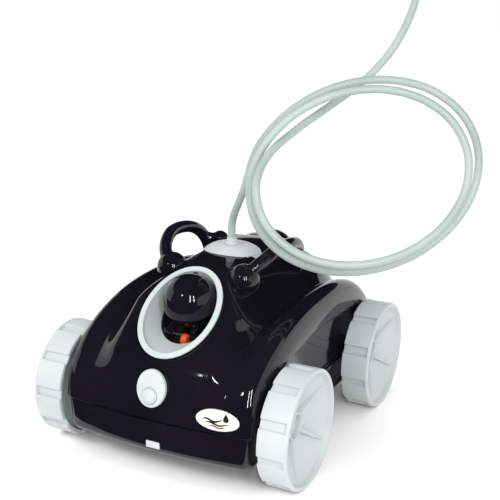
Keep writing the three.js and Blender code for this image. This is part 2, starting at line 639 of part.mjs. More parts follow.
// ---------- floating cable ----------
// The cable hangs in two oval turns. Their plane faces the front right corner and leans back a little.
// Places in that plane are [across, up, toward the front right corner].
const HANG_TURN = degrees(25.4);
const HANG_LEAN = degrees(16.7);
const COIL = { across: 153, up: 305, halfWidth: 148, halfHeight: 115, tilt: degrees(24.5), near: 118, far: 190 };
const COIL_STEP = { across: -6, up: -4, halfWidth: -15, halfHeight: -11, tilt: degrees(-5) };
const COIL_START = degrees(158);
const COIL_TURNS = 1.97;
const COIL_KNOTS = 30;
const CORD_RISER = [[0, GLAND_Y, CAP_TOP_Z + 8.3], [0, GLAND_Y, CAP_TOP_Z + 27]];
const CORD_LEAD = [[36, 322, 166], [70, 358, 134], [105, 387, 106], [134, 410, 94], [160, 433, 88],
  [183, 460, 86], [200, 489, 86], [212, 520, 86], [220, 555, 86]];

function inHangPlane([across, up, toward]) {
  const place = new THREE.Vector3(across, -toward, up).applyAxisAngle(new THREE.Vector3(1, 0, 0), -HANG_LEAN);
  return place.applyAxisAngle(new THREE.Vector3(0, 0, 1), HANG_TURN);
}

function coilPoint(turns) {
  const at = (name) => COIL[name] + COIL_STEP[name] * turns;
  const angle = COIL_START - TURN * turns;
  const x = at('halfWidth') * Math.cos(angle);
  const y = at('halfHeight') * Math.sin(angle);
  const across = at('across') + x * Math.cos(at('tilt')) - y * Math.sin(at('tilt'));
  const up = at('up') + x * Math.sin(at('tilt')) + y * Math.cos(at('tilt'));
  return inHangPlane([across, up, mix(COIL.near, COIL.far, turns / COIL_TURNS)]);
}

// Straight up out of the gland, two turns, then up to the hanger.
const CORD_ROUTE = [
  ...CORD_RISER.map((point) => new THREE.Vector3(...point)),
  ...Array.from({ length: COIL_KNOTS + 1 }, (_, knot) => coilPoint((COIL_TURNS * knot) / COIL_KNOTS)),
  ...CORD_LEAD.map(inHangPlane),
];

function floatingCable() {
  const path = new THREE.CatmullRomCurve3(CORD_ROUTE, false, 'centripetal');
  const ring = Array.from({ length: 8 }, (_, step) => {
    const angle = (TURN * step) / 8;
    return new THREE.Vector2(CORD_RADIUS * Math.cos(angle), CORD_RADIUS * Math.sin(angle));
  });
  const tube = new THREE.ExtrudeGeometry(new THREE.Shape(ring), { steps: 80, extrudePath: path });
  return node('floating_cable', tube, CORD_GREY);
}

function cableHanger() {
  const [before, end] = CORD_ROUTE.slice(-2);
  const along = end.clone().sub(before).normalize();
  const at = (distance) => end.clone().addScaledVector(along, distance).toArray();
  const sleeve = rod(at(GAP), at(26), CORD_RADIUS + 1.8, CORD_RADIUS + 1.2, 12);
  const tie = new THREE.TorusGeometry(9, 2.2, 6, 14).rotateX(Math.PI / 2).rotateZ(degrees(50));
  tie.translate(...at(33));
  return node('cable_hanger', join(sleeve, tie), LIGHT_GREY);
}

// ---------- assembly ----------
function assembleEnd(end) {
  const turned = groupOf(bezel(end), bezelCatch(end), nozzleCup(end), jetFlap(end), flapPin(end), flapStop(end),
    buttonPlate(end), pressButton(end), lidLatch(end));
  turned.rotation.z = end.turn;
  return turned;
}

const shellBlank = shellSolid(OUTER_STEPS);
shellBlank.translate(0, 0, GAP);

const cleaner = groupOf(
  upperShell(),
  lowerShell(),
  ...sidePanels(),
  bottomLid(),
  ...ENDS.map(intakeFlap),
  ...ENDS.map(assembleEnd),
  emblem(),
  ...SIDES.map((side) => handle(side, shellBlank)),
  cableCap(shellBlank),
  ...capScrews(),
  cableGland(),
  ...ENDS.flatMap((end) => SIDES.map((side) => wheelCorner(side, end))),
  pumpMotor(),
  motorShaft(),
  impeller(),
  jetDuct(),
  filterFrame(),
  filterBag(),
  floatingCable(),
  cableHanger(),
);

export default cleaner;
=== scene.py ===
"""Looks of a robotic pool cleaner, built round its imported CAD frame.

Shapes are written in millimetres and turned into metres as each mesh is made; the studio is in metres.
+Z is up and -Y is the front.
"""
import math
from math import cos, pi, sin

import bmesh
import bpy
import numpy as np
from mathutils import Matrix, Vector
from mathutils.bvhtree import BVHTree


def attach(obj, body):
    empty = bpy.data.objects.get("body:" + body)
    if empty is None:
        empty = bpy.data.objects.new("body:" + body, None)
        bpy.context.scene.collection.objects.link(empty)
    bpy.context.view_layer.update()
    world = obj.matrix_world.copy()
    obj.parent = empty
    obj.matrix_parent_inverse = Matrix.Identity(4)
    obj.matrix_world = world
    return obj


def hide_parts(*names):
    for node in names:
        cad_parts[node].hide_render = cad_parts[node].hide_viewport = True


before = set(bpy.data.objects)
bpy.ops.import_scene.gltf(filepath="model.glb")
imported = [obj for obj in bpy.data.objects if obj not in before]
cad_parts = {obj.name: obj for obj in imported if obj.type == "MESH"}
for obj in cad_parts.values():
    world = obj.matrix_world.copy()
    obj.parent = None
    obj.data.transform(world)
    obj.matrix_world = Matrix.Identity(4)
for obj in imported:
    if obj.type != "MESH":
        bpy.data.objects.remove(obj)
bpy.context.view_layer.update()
MM = 0.001
TURN = 2 * pi
ENDS = {"front": 0.0, "rear": pi}
SIDES = {"left": -1, "right": 1}

# ---------- driving dimensions: the CAD's, with the crease, ovals and latch drawn a little finer ----------
SEAM_Z = 75
SHELL_HALF_WIDTH = 125
SHELL_REACH = 204
DECK_Z = 225.5
VALLEY_X = 86
CREASE_X = 89
CHAMFER_X = 96
CROWN_X = 107
EDGE_X = 121.5
WAIST = 29
SHOULDER = 60
BOW = 0.04
BOW_X = 108
JET_TILT = math.radians(38)
JET_CENTRE = (0, -135.5, 183.4)
BEZEL_HALF = (48, 64)
RIM_HALF = (43.6, 59.6)
THROAT_HALF = (36.5, 44.8)
MOUTH_HALF = (34, 42)
MOUTH_DEPTH = -24
MOUTH_SHIFT = 12
HINGE_T = -14
HINGE_DEPTH = -27
POST_X = 23
DOME_RADIUS = 32
DOME_CENTRE = (22, -8)
DOME_BASE = -34
CATCH_X = -6
BUTTON_CENTRE = (0, -202, 114)
BUTTON_TILT = math.radians(78.7)
BUTTON_HALF = (18.2, 21.8)
PRESS_RADIUS = 9.5
PRESS_DROP = -8.5
BADGE_CENTRE = (82, -197.2, 92)
BADGE_HALF = (25.6, 12.1)
BADGE_TILT = math.radians(88)
BADGE_TURN = math.radians(6.3)
LATCH_SIZE = (18, 9, 9)
LATCH_CENTRE = (2, -199.5, 45)
LID_SIZE = (224, 156)
BELLY_Z = 30
TUB_DEPTH = 45
WHEEL_RADIUS = 70
WHEEL_WIDTH = 36.3
WHEEL_OUTER_X = 164.8
AXLE_Y = 127
LUG_COUNT = 10
RIB_COUNT = 5
RIB_PHASE = math.radians(37)
GLAND_Y = -8
CAP_TOP_Z = 235
CAP_HEIGHT = 19
CAP_HALF = (40, 37)
CAP_SHIFT = (-1, -3, 0)
CAP_SCREWS = ((-17, -5), (14, 9))
HUB_FRONT = -18.5
HUB_FLOOR = -27
CORD_RADIUS = 4.75


# ---------- mesh helpers ----------
def new_mesh(name, points, faces):
    mesh = bpy.data.meshes.new(name)
    mesh.from_pydata((np.asarray(points, float) * MM).tolist(), [], faces)
    sides = bmesh.new()
    sides.from_mesh(mesh)
    bmesh.ops.remove_doubles(sides, verts=sides.verts, dist=1e-7)
    bmesh.ops.recalc_face_normals(sides, faces=sides.faces)
    sides.to_mesh(mesh)
    sides.free()
    return mesh


def linked(name, data):
    """A new object in the scene that holds the data."""
    piece = bpy.data.objects.new(name, data)
    bpy.context.scene.collection.objects.link(piece)
    return piece


def new_object(name, points, faces):
    return linked(name, new_mesh(name, points, faces))


def place(piece, *matrices):
    """Applies the matrices, first to last, to the piece's mesh."""
    for matrix in matrices:
        piece.data.transform(matrix)
    return piece


def shifted(x, y, z):
    return Matrix.Translation(Vector((x, y, z)) * MM)


def turned(angle, axis):
    return Matrix.Rotation(angle, 4, axis)


def scaled(x, y, z):
    return Matrix.Diagonal((x, y, z, 1))


def ring_faces(rows, columns, closed_rows=False, caps=True):
    """Quads between closed rings of points, row after row, with flat ends unless the rows close."""
    faces = []
    for row in range(rows if closed_rows else rows - 1):
        below = (row + 1) % rows
        for column in range(columns):
            beside = (column + 1) % columns
            faces.append((row * columns + column, row * columns + beside,
                          below * columns + beside, below * columns + column))
    if caps and not closed_rows:
        faces.append(tuple(range(columns))[::-1])
        faces.append(tuple((rows - 1) * columns + column for column in range(columns)))
    return faces


def rings(name, rows, closed_rows=False, caps=True):
    rows = [np.asarray(row, float) for row in rows]
    return new_object(name, np.concatenate(rows), ring_faces(len(rows), len(rows[0]), closed_rows, caps))


def softened(points, radius, steps=4, closed=False):
    """The polyline with each corner rounded. Points may have any number of coordinates."""
    points = [np.asarray(point, float) for point in points]
    count = len(points)
    result = []
    for number, corner in enumerate(points):
        if not closed and number in (0, count - 1):
            result.append(corner)
            continue
        before, after = points[number - 1], points[(number + 1) % count]
        cut = min(radius, 0.45 * np.linalg.norm(before - corner), 0.45 * np.linalg.norm(after - corner))
        start = corner + cut * (before - corner) / max(np.linalg.norm(before - corner), 1e-9)
        end = corner + cut * (after - corner) / max(np.linalg.norm(after - corner), 1e-9)
        for step in range(steps + 1):
            t = step / steps
            result.append((1 - t) ** 2 * start + 2 * t * (1 - t) * corner + t ** 2 * end)
    return result


def lathe(name, profile, sides=64, closed=False, radius=0.0):
    """Turns (along, radius) points about the Z axis."""
    profile = softened(profile, radius, 4, closed) if radius else [np.asarray(p, float) for p in profile]
    angles = TURN * np.arange(sides) / sides
    rows = [np.column_stack([far * np.cos(angles), far * np.sin(angles), np.full(sides, along)])
            for along, far in profile]
    return rings(name, rows, closed)


def oval_loft(name, section, sides=96, closed=True, radius=0.0):
    """An oval ring or cup: each section point is (half x, half y, shift, depth)."""
    section = softened(section, radius, 4, closed) if radius else section
    angles = TURN * np.arange(sides) / sides
    rows = [np.column_stack([half_x * np.cos(angles), shift + half_y * np.sin(angles), np.full(sides, depth)])
            for half_x, half_y, shift, depth in section]
    return rings(name, rows, closed)


def slab(name, size, centre, bevel=0.0, segments=3):
    """A box with rounded edges."""
    body = bmesh.new()
    bmesh.ops.create_cube(body, size=1)
    for vertex in body.verts:
        vertex.co = Vector([vertex.co[i] * size[i] + centre[i] for i in range(3)]) * MM
    if bevel:
        bmesh.ops.bevel(body, geom=body.edges[:], offset=bevel * MM, segments=segments, profile=0.5,
                        affect="EDGES", clamp_overlap=True)
    mesh = bpy.data.meshes.new(name)
    body.to_mesh(mesh)
    body.free()
    return linked(name, mesh)


def bar(name, start, end, radius, end_radius=None, sides=48, bevel=0.0):
    """A round bar between two points."""
    start, end = Vector(start), Vector(end)
    length = (end - start).length
    end_radius = radius if end_radius is None else end_radius
    profile = [(0, 0.001), (0, radius), (length, end_radius), (length, 0.001)]
    piece = lathe(name, profile, sides, radius=bevel)
    turn = Vector((0, 0, 1)).rotation_difference((end - start).normalized()).to_matrix().to_4x4()
    return place(piece, turn, shifted(*start))


def applied(piece):
    """Bakes the piece's modifiers into its mesh."""
    bpy.context.view_layer.update()
    graph = bpy.context.evaluated_depsgraph_get()
    mesh = bpy.data.meshes.new_from_object(piece.evaluated_get(graph))
    piece.modifiers.clear()
    old = piece.data
    piece.data = mesh
    bpy.data.meshes.remove(old)
    return piece


def boolean(piece, tools, operation):
    for tool in tools:
        step = piece.modifiers.new("step", "BOOLEAN")
        step.operation = operation
        step.solver = "EXACT"
        step.object = tool
    applied(piece)
    for tool in tools:
        bpy.data.objects.remove(tool)
    return piece


def cut(piece, *tools):
    return boolean(piece, tools, "DIFFERENCE")


def join(piece, *others):
    return boolean(piece, others, "UNION")


def copied(piece, name):
    return linked(name, piece.data.copy())


def finished(piece, material, replaced=(), body="chassis", smooth_angle=32):
    """Shades the piece, gives it its finish and hangs it on its body."""
    piece.data.materials.clear()
    piece.data.materials.append(material)
    if smooth_angle:
        for face in piece.data.polygons:
            face.use_smooth = True
        piece.data.set_sharp_from_angle(angle=math.radians(smooth_angle))
    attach(piece, body)
    if replaced:
        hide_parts(*([replaced] if isinstance(replaced, str) else replaced))
    return piece


def keep_normals(piece, source):
    """Gives the cut piece the smooth normals that its source surface had before the cuts."""
    points = [vertex.co.copy() for vertex in source.vertices]
    normals = [vertex.normal.copy() for vertex in source.vertices]
    source.calc_loop_triangles()
    triangles = [tuple(triangle.vertices) for triangle in source.loop_triangles]
    tree = BVHTree.FromPolygons(points, triangles)
    mesh = piece.data
    found = {}
    for vertex in mesh.vertices:
        near, _, index, distance = tree.find_nearest(vertex.co)
        if index is None or distance > 2e-5:
            continue
        corners = triangles[index]
        weights = barycentric(near, *[points[corner] for corner in corners])
        blended = sum((normals[corner] * weight for corner, weight in zip(corners, weights)), Vector())
        found[vertex.index] = blended.normalized()
    split = []
    for face in mesh.polygons:
        face.use_smooth = True
        for corner in face.vertices:
            smooth = found.get(corner)
            split.append(smooth if smooth is not None and smooth.dot(face.normal) > 0.94 else face.normal)
    mesh.normals_split_custom_set([tuple(normal) for normal in split])
    return piece


def barycentric(point, a, b, c):
    edge_b, edge_c, away = b - a, c - a, point - a
    bb, bc, cc = edge_b.dot(edge_b), edge_b.dot(edge_c), edge_c.dot(edge_c)
    pb, pc = away.dot(edge_b), away.dot(edge_c)
    area = bb * cc - bc * bc
    if abs(area) < 1e-20:
        return 1, 0, 0
    second, third = (cc * pb - bc * pc) / area, (bb * pc - bc * pb) / area
    return 1 - second - third, second, third


# ---------- materials ----------
def shader_of(name):
    material = bpy.data.materials.new(name)
    material.use_nodes = True
    return material, material.node_tree, material.node_tree.nodes["Principled BSDF"]


def textured(tree, kind, scale, detail=3.0):
    texture = tree.nodes.new(kind)
    coordinates = tree.nodes.new("ShaderNodeTexCoord")
    tree.links.new(coordinates.outputs["Object"], texture.inputs["Vector"])
    texture.inputs["Scale"].default_value = scale
    if "Detail" in texture.inputs:
        texture.inputs["Detail"].default_value = detail
    return texture


def ranged(tree, source, low, high, from_low=0.3, from_high=0.7):
    span = tree.nodes.new("ShaderNodeMapRange")
    span.inputs["From Min"].default_value = from_low
    span.inputs["From Max"].default_value = from_high
    span.inputs["To Min"].default_value = low
    span.inputs["To Max"].default_value = high
    tree.links.new(source, span.inputs["Value"])
    return span.outputs["Result"]


def coloured(tree, source, dark, light, low=0.35, high=0.65):
    ramp = tree.nodes.new("ShaderNodeValToRGB")
    ramp.color_ramp.elements[0].position = low
    ramp.color_ramp.elements[0].color = (*dark, 1)
    ramp.color_ramp.elements[1].position = high
    ramp.color_ramp.elements[1].color = (*light, 1)
    tree.links.new(source, ramp.inputs["Fac"])
    return ramp.outputs["Color"]


def bumped(tree, shader, source, strength, distance):
    bump = tree.nodes.new("ShaderNodeBump")
    bump.inputs["Strength"].default_value = strength
    bump.inputs["Distance"].default_value = distance
    tree.links.new(source, bump.inputs["Height"])
    tree.links.new(bump.outputs["Normal"], shader.inputs["Normal"])


def moulded_plastic(name, dark, light, rough, grain_scale, grain, coat=0.0, specular=0.5):
    """Moulded plastic: slow tone drift, uneven gloss and a fine surface grain."""
    material, tree, shader = shader_of(name)
    drift = textured(tree, "ShaderNodeTexNoise", 14, 3)
    tree.links.new(coloured(tree, drift.outputs["Fac"], dark, light), shader.inputs["Base Color"])
    smear = textured(tree, "ShaderNodeTexNoise", 55, 5)
    tree.links.new(ranged(tree, smear.outputs["Fac"], rough[0], rough[1]), shader.inputs["Roughness"])
    fine = textured(tree, "ShaderNodeTexNoise", grain_scale, 2)
    bumped(tree, shader, fine.outputs["Fac"], grain[0], grain[1])
    shader.inputs["Specular IOR Level"].default_value = specular
    shader.inputs["Coat Weight"].default_value = coat
    shader.inputs["Coat Roughness"].default_value = 0.04
    return material


def brushed_metal(name):
    material, tree, shader = shader_of(name)
    streaks = textured(tree, "ShaderNodeTexNoise", 900, 4)
    tree.links.new(coloured(tree, streaks.outputs["Fac"], (0.42, 0.43, 0.45), (0.68, 0.69, 0.71)),
              shader.inputs["Base Color"])
    tree.links.new(ranged(tree, streaks.outputs["Fac"], 0.18, 0.36), shader.inputs["Roughness"])
    bumped(tree, shader, streaks.outputs["Fac"], 0.2, 0.0001)
    shader.inputs["Metallic"].default_value = 1
    return material


def woven_cloth(name):
    """Fine filter gauze: two crossed sets of threads."""
    material, tree, shader = shader_of(name)
    threads = []
    for direction in ("X", "Y"):
        wave = textured(tree, "ShaderNodeTexWave", 260)
        wave.bands_direction = direction
        threads.append(wave.outputs["Fac"])
    both = tree.nodes.new("ShaderNodeMath")
    both.operation = "MULTIPLY"
    tree.links.new(threads[0], both.inputs[0])
    tree.links.new(threads[1], both.inputs[1])
    tree.links.new(coloured(tree, both.outputs[0], (0.42, 0.44, 0.42), (0.76, 0.78, 0.75), 0.1, 0.6),
              shader.inputs["Base Color"])
    bumped(tree, shader, both.outputs[0], 0.6, 0.0004)
    shader.inputs["Roughness"].default_value = 0.9
    return material


GLOSS = moulded_plastic("gloss_black_plastic", (0.0045, 0.0038, 0.0065), (0.0065, 0.0055, 0.009),
                        (0.045, 0.085), 700, (0.012, 0.00005), specular=0.42)
SATIN = moulded_plastic("satin_black_plastic", (0.010, 0.010, 0.011), (0.018, 0.018, 0.019),
                        (0.32, 0.5), 1500, (0.25, 0.00008))
GREY = moulded_plastic("light_grey_plastic", (0.415, 0.445, 0.445), (0.46, 0.488, 0.488),
                       (0.34, 0.48), 1600, (0.14, 0.00006))
STEEL = brushed_metal("brushed_steel")
ORANGE = moulded_plastic("orange_rubber", (0.52, 0.055, 0.012), (0.72, 0.11, 0.03), (0.35, 0.55), 900,
                         (0.2, 0.0001))
IVORY = moulded_plastic("ivory_label", (0.70, 0.69, 0.59), (0.75, 0.74, 0.64), (0.25, 0.35), 1200,
                        (0.08, 0.00004))
INK = moulded_plastic("label_ink", (0.012, 0.013, 0.012), (0.022, 0.024, 0.022), (0.3, 0.4), 900,
                      (0.1, 0.00004))
CABLE = moulded_plastic("cable_jacket", (0.285, 0.335, 0.308), (0.33, 0.385, 0.352), (0.38, 0.55), 900,
                        (0.16, 0.00008))
GAUZE = woven_cloth("filter_gauze")


# ---------- camera ----------
CAMERA_ANGLES = (25.42, 16.65, 1.66)
CAMERA_TARGET = (25.6, 213.7)
CAMERA_DISTANCE = 1372
CAMERA_LENS = 75.3


def make_camera():
    """Looks at a target given as (right, up) in the picture's own directions."""
    azimuth, elevation, roll = [math.radians(angle) for angle in CAMERA_ANGLES]
    back = Vector((sin(azimuth) * cos(elevation), -cos(azimuth) * cos(elevation),
                   sin(elevation)))
    right = Vector((cos(azimuth), sin(azimuth), 0))
    up = back.cross(right)
    tilted_right = right * cos(roll) + up * sin(roll)
    tilted_up = up * cos(roll) - right * sin(roll)
    target = (tilted_right * CAMERA_TARGET[0] + tilted_up * CAMERA_TARGET[1]) * MM
    data = bpy.data.cameras.new("camera")
    data.lens = CAMERA_LENS
    data.sensor_width = 36
    data.clip_start = 0.05
    camera = linked("camera", data)
    turn = Matrix((tilted_right, tilted_up, back)).transposed().to_4x4()
    camera.matrix_world = Matrix.Translation(target + back * CAMERA_DISTANCE * MM) @ turn
    bpy.context.scene.camera = camera


make_camera()


# ---------- floating cable ----------
# As in the CAD: two oval turns in a plane that faces the front right corner and leans back a little.
# Places in that plane are (across, up, toward the front right corner).
HANG_TURN = math.radians(25.4)
HANG_LEAN = math.radians(16.7)
COIL = {"across": 153, "up": 305, "half_width": 148, "half_height": 115, "tilt": math.radians(24.5)}
COIL_STEP = {"across": -6, "up": -4, "half_width": -15, "half_height": -11, "tilt": math.radians(-5)}
COIL_NEAR = 118
COIL_FAR = 190
COIL_START = math.radians(158)
COIL_TURNS = 1.97
COIL_KNOTS = 30
CORD_RISER = [(0, GLAND_Y, CAP_TOP_Z + 8.3), (0, GLAND_Y, CAP_TOP_Z + 27)]
CORD_LEAD = [(36, 322, 166), (70, 358, 134), (105, 387, 106), (134, 410, 94), (160, 433, 88),
             (183, 460, 86), (200, 489, 86), (212, 520, 86), (220, 555, 86)]


def in_hang_plane(across, up, toward):
    place_there = Vector((across, -toward, up))
    return Matrix.Rotation(HANG_TURN, 3, "Z") @ Matrix.Rotation(-HANG_LEAN, 3, "X") @ place_there


def coil_point(turns):
    at = {name: COIL[name] + COIL_STEP[name] * turns for name in COIL}
    angle = COIL_START - TURN * turns
    x, y = at["half_width"] * cos(angle), at["half_height"] * sin(angle)
    across = at["across"] + x * cos(at["tilt"]) - y * sin(at["tilt"])
    up = at["up"] + x * sin(at["tilt"]) + y * cos(at["tilt"])
    return in_hang_plane(across, up, COIL_NEAR + (COIL_FAR - COIL_NEAR) * turns / COIL_TURNS)


CORD_ROUTE = [Vector(point) for point in CORD_RISER]
CORD_ROUTE += [coil_point(COIL_TURNS * knot / COIL_KNOTS) for knot in range(COIL_KNOTS + 1)]
CORD_ROUTE += [in_hang_plane(*point) for point in CORD_LEAD]


def smooth_handles(points):
    """Bezier handles that make the curve a centripetal Catmull-Rom line through the points."""
    ends = [2 * points[0] - points[1], *points, 2 * points[-1] - points[-2]]
    handles = []
    for number in range(1, len(ends) - 1):
        before, here, after = ends[number - 1:number + 2]
        back, ahead = (here - before).length ** 0.5, (after - here).length ** 0.5
        slope = (here - before) / back - (after - before) / (back + ahead) + (after - here) / ahead
        handles.append((here - slope * back / 3, here + slope * ahead / 3))
    return handles


def make_cable():
    points = [point * MM for point in CORD_ROUTE]
    data = bpy.data.curves.new("cable", "CURVE")
    data.dimensions = "3D"
    data.bevel_depth = CORD_RADIUS * MM
    data.bevel_resolution = 6
    data.resolution_u = 14
    data.use_fill_caps = True
    spline = data.splines.new("BEZIER")
    spline.bezier_points.add(len(points) - 1)
    for knot, point, (left, right) in zip(spline.bezier_points, points, smooth_handles(points)):
        knot.handle_left_type = knot.handle_right_type = "FREE"
        knot.co, knot.handle_left, knot.handle_right = point, left, right
    data.materials.append(CABLE)
    cable = linked("cable", data)
    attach(cable, "chassis")
    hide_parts("floating_cable")
    return cable


def make_hanger():
    """A soft sleeve on the cable's end with a ring that hooks over a support above the view."""
    before, last = CORD_ROUTE[-2:]
    along = (last - before).normalized()
    turn = Vector((0, 0, 1)).rotation_difference(along).to_matrix().to_4x4()
    outline = [(0.3, 4.9), (0.3, 6.4), (3, 6.7), (5, 6.2), (7, 6.7), (9, 6.2), (11, 6.7), (13, 6.2),
               (15, 6.6), (22, 6.3), (26, 5.4), (26, 0.001), (0.31, 0.001)]
    sleeve = place(lathe("hanger", outline, 40, radius=0.7), turn, shifted(*last))
    ring_profile = [(9 + 2.2 * cos(angle), 2.2 * sin(angle)) for angle in TURN * np.arange(14) / 14]
    loop = lathe("hanger_ring", [(height, far) for far, height in ring_profile], 48, closed=True)
    place(loop, turned(math.radians(90), "X"), turned(math.radians(50), "Z"))
    place(loop, shifted(*(last + along * 33)))
    return finished(join(sleeve, loop), GREY, "cable_hanger")


cable = make_cable()
hanger = make_hanger()


# ---------- the shell's outer surface ----------
def smooth(value):
    value = np.clip(value, 0, 1)
    return value * value * (3 - 2 * value)


def mix(a, b, t):
    return a + (b - a) * t


def rounded_polygon(angle, faces, sharpness):
    """Radius, at an angle, of a polygon with rounded corners. Faces are (direction, distance)."""
    total = np.zeros_like(angle)
    for direction, distance in faces:
        reach = np.cos(angle - math.radians(direction)) / distance
        total += np.where(reach > 0, np.abs(reach), 0) ** sharpness
    return total ** (-1 / sharpness)


def arch(reach, height):
    return [(90, height), (0, reach), (180, reach)]


HUMP_FACES = [(90, DECK_Z - SEAM_Z), (52, 168.8), (128, 168.8), (17, SHELL_REACH), (163, SHELL_REACH),
              (0, SHELL_REACH), (180, SHELL_REACH)]
HUMP_SHARPNESS = 28
SHOULDER_HEIGHTS = (100, 102, 106.5, 109.5)
SHOULDER_SHARPNESS = 2.4
HUMP_FLARE = (26, 24)
GROOVE_FADE = (20, 6)
GROOVE_HALF = 1.4
GROOVE_DEPTH = 0.9
ROLL = 0.42
SEAM_ROUND = 1.0
DROOP = 1.5


def bowed(radius, x, angle):
    """The plan outline bows: the shell is a little shorter towards its sides."""
    return radius * (1 - BOW * (x / BOW_X) ** 2 * np.cos(angle) ** 4)


def half_section(angle):
    """Places across and radii of half the shell at each angle: arrays of angles by samples."""
    hump = rounded_polygon(angle, HUMP_FACES, HUMP_SHARPNESS)
    valley, crease, chamfer, crown = [
        rounded_polygon(angle, arch(SHELL_REACH, height), SHOULDER_SHARPNESS) for height in SHOULDER_HEIGHTS]
    edge_line = rounded_polygon(angle, arch(199, 97), 2.3)
    lip = rounded_polygon(angle, arch(194, 78), 2.2)
    away = np.abs(np.degrees(angle) - 90)
    edge = mix(WAIST, SHOULDER, smooth((away - HUMP_FLARE[0]) / HUMP_FLARE[1]))
    groove = GROOVE_DEPTH * (1 - smooth((away - GROOVE_FADE[0]) / GROOVE_FADE[1]))
    across, radii = [], []

    def rise(t):
        return sin(t * pi / 2)

    def level(start, end, ease=lambda t: t):
        return lambda t: np.full_like(angle, mix(start, end, ease(t)))

    def stretch(count, place_of, radius_of, first=False):
        for step in range(0 if first else 1, count + 1):
            t = step / count
            across.append(place_of(t))
            radii.append(radius_of(t))

    stretch(14, lambda t: (edge - GROOVE_HALF) * t, lambda t: hump - DROOP * t * t, True)
    stretch(3, lambda t: edge - GROOVE_HALF + GROOVE_HALF * t, lambda t: hump - DROOP - groove * rise(t))
    stretch(3, lambda t: edge + GROOVE_HALF * t, lambda t: hump - DROOP - groove * cos(t * pi / 2))
    stretch(34, lambda t: mix(edge + GROOVE_HALF, VALLEY_X, t),
            lambda t: mix(hump - DROOP, valley, 0.45 * t + 0.55 * smooth(t)))
    stretch(5, level(VALLEY_X, CREASE_X), lambda t: mix(valley, crease, t * t))
    stretch(7, level(CREASE_X, CHAMFER_X), lambda t: mix(crease, chamfer, t))
    stretch(10, level(CHAMFER_X, CROWN_X), lambda t: mix(chamfer, crown, rise(t)))
    stretch(12, level(CROWN_X, EDGE_X, lambda t: sin(t * ROLL * pi) / sin(ROLL * pi)),
            lambda t: mix(crown, edge_line,
                          (1 - cos(t * ROLL * pi)) / (1 - cos(ROLL * pi))))
    stretch(8, level(EDGE_X, SHELL_HALF_WIDTH, rise), lambda t: mix(edge_line, lip, t))
    across = np.stack([np.broadcast_to(values, angle.shape) for values in across], axis=1)
    radii = np.stack(radii, axis=1)
    return across, bowed(radii, across, angle[:, None])


def rib_faces(rows, columns):
    """Faces of a row of ribs closed over a flat floor and two flat sides."""
    last = rows - 1
    faces = [(row * columns + column, row * columns + column + 1, (row + 1) * columns + column + 1,
              (row + 1) * columns + column) for row in range(last) for column in range(columns - 1)]
    top_end = tuple(last * columns + column for column in reversed(range(columns)))
    faces.append(tuple(range(columns)) + top_end)
    faces.append(tuple(row * columns for row in range(rows)))
    faces.append(tuple(row * columns + columns - 1 for row in range(rows)))
    return faces


def shell_block(name, steps, keep=1):
    """The closed solid under the shell's surface, down to the seam plane."""
    seam = np.array([0, 0.15, 0.45, 0.9]) / SHELL_REACH
    middle = np.linspace(1.6 / SHELL_REACH, pi - 1.6 / SHELL_REACH, steps)
    angle = np.concatenate([seam, middle, pi - seam[::-1]])
    across, radii = [values[:, ::keep] for values in half_section(angle)]
    height = np.minimum(np.sin(angle) * SHELL_REACH, SEAM_ROUND) / SEAM_ROUND
    tuck = SEAM_ROUND * (1 - np.sqrt(np.clip(1 - (1 - height) ** 2, 0, 1)))
    radii = radii - tuck[:, None]
    y, z = radii * np.cos(angle)[:, None], SEAM_Z + radii * np.sin(angle)[:, None]
    right = np.stack([across, y, z], axis=2)
    left = right[:, :0:-1] * np.array([-1, 1, 1])
    grid = np.concatenate([left, right], axis=1)
    return new_object(name, grid.reshape(-1, 3), rib_faces(*grid.shape[:2]))


# ---------- placing things on the sloped jet face, the front face and the badge ----------
def on_jet_face(piece, end):
    return place(piece, turned(JET_TILT, "X"), shifted(*JET_CENTRE), turned(ENDS[end], "Z"))


def on_button_face(piece, end):
    return place(piece, turned(BUTTON_TILT, "X"), shifted(*BUTTON_CENTRE), turned(ENDS[end], "Z"))


def on_badge_face(piece):
    return place(piece, turned(BADGE_TILT, "X"), turned(BADGE_TURN, "Z"), shifted(*BADGE_CENTRE))


def oval_slab(name, half, bottom, top, sides=96, bevel=0.0):
    section = [(0.01, 0.01, 0, bottom), (*half, 0, bottom), (*half, 0, top), (0.01, 0.01, 0, top)]
    return oval_loft(name, section, sides, closed=False, radius=bevel)


def outline_of_arch(reach, height, inset, samples=72):
    """A closed half-oval outline in (y, z), drawn in from its edge all round."""
    angle = np.linspace(0, pi, samples)
    radius = rounded_polygon(angle, arch(reach - inset, height - inset), 2.2)
    curve = np.column_stack([radius * np.cos(angle), np.maximum(radius * np.sin(angle), inset)])
    base = np.column_stack([np.linspace(-reach + inset, reach - inset, 26)[1:-1], np.full(24, float(inset))])
    return np.concatenate([curve, base])


def arch_loft(name, reach, height, section, side):
    """A half-oval plate for one side: section points are (inset, x)."""
    rows = []
    for inset, x in section:
        outline = outline_of_arch(reach, height, inset)
        rows.append(np.column_stack([np.full(len(outline), side * x), outline[:, 0], SEAM_Z + outline[:, 1]]))
    return rings(name, rows)


# ---------- casing ----------
CAVITY_SCALE = (0.972, 0.982, 0.972)
CAVITY_DROP = 1.5
RIM_CLEARANCE = 0.6
PLATE_CLEARANCE = 0.3


def hole_of(half, clearance, bottom, top):
    return oval_slab("hole", [value + clearance for value in half], bottom, top)


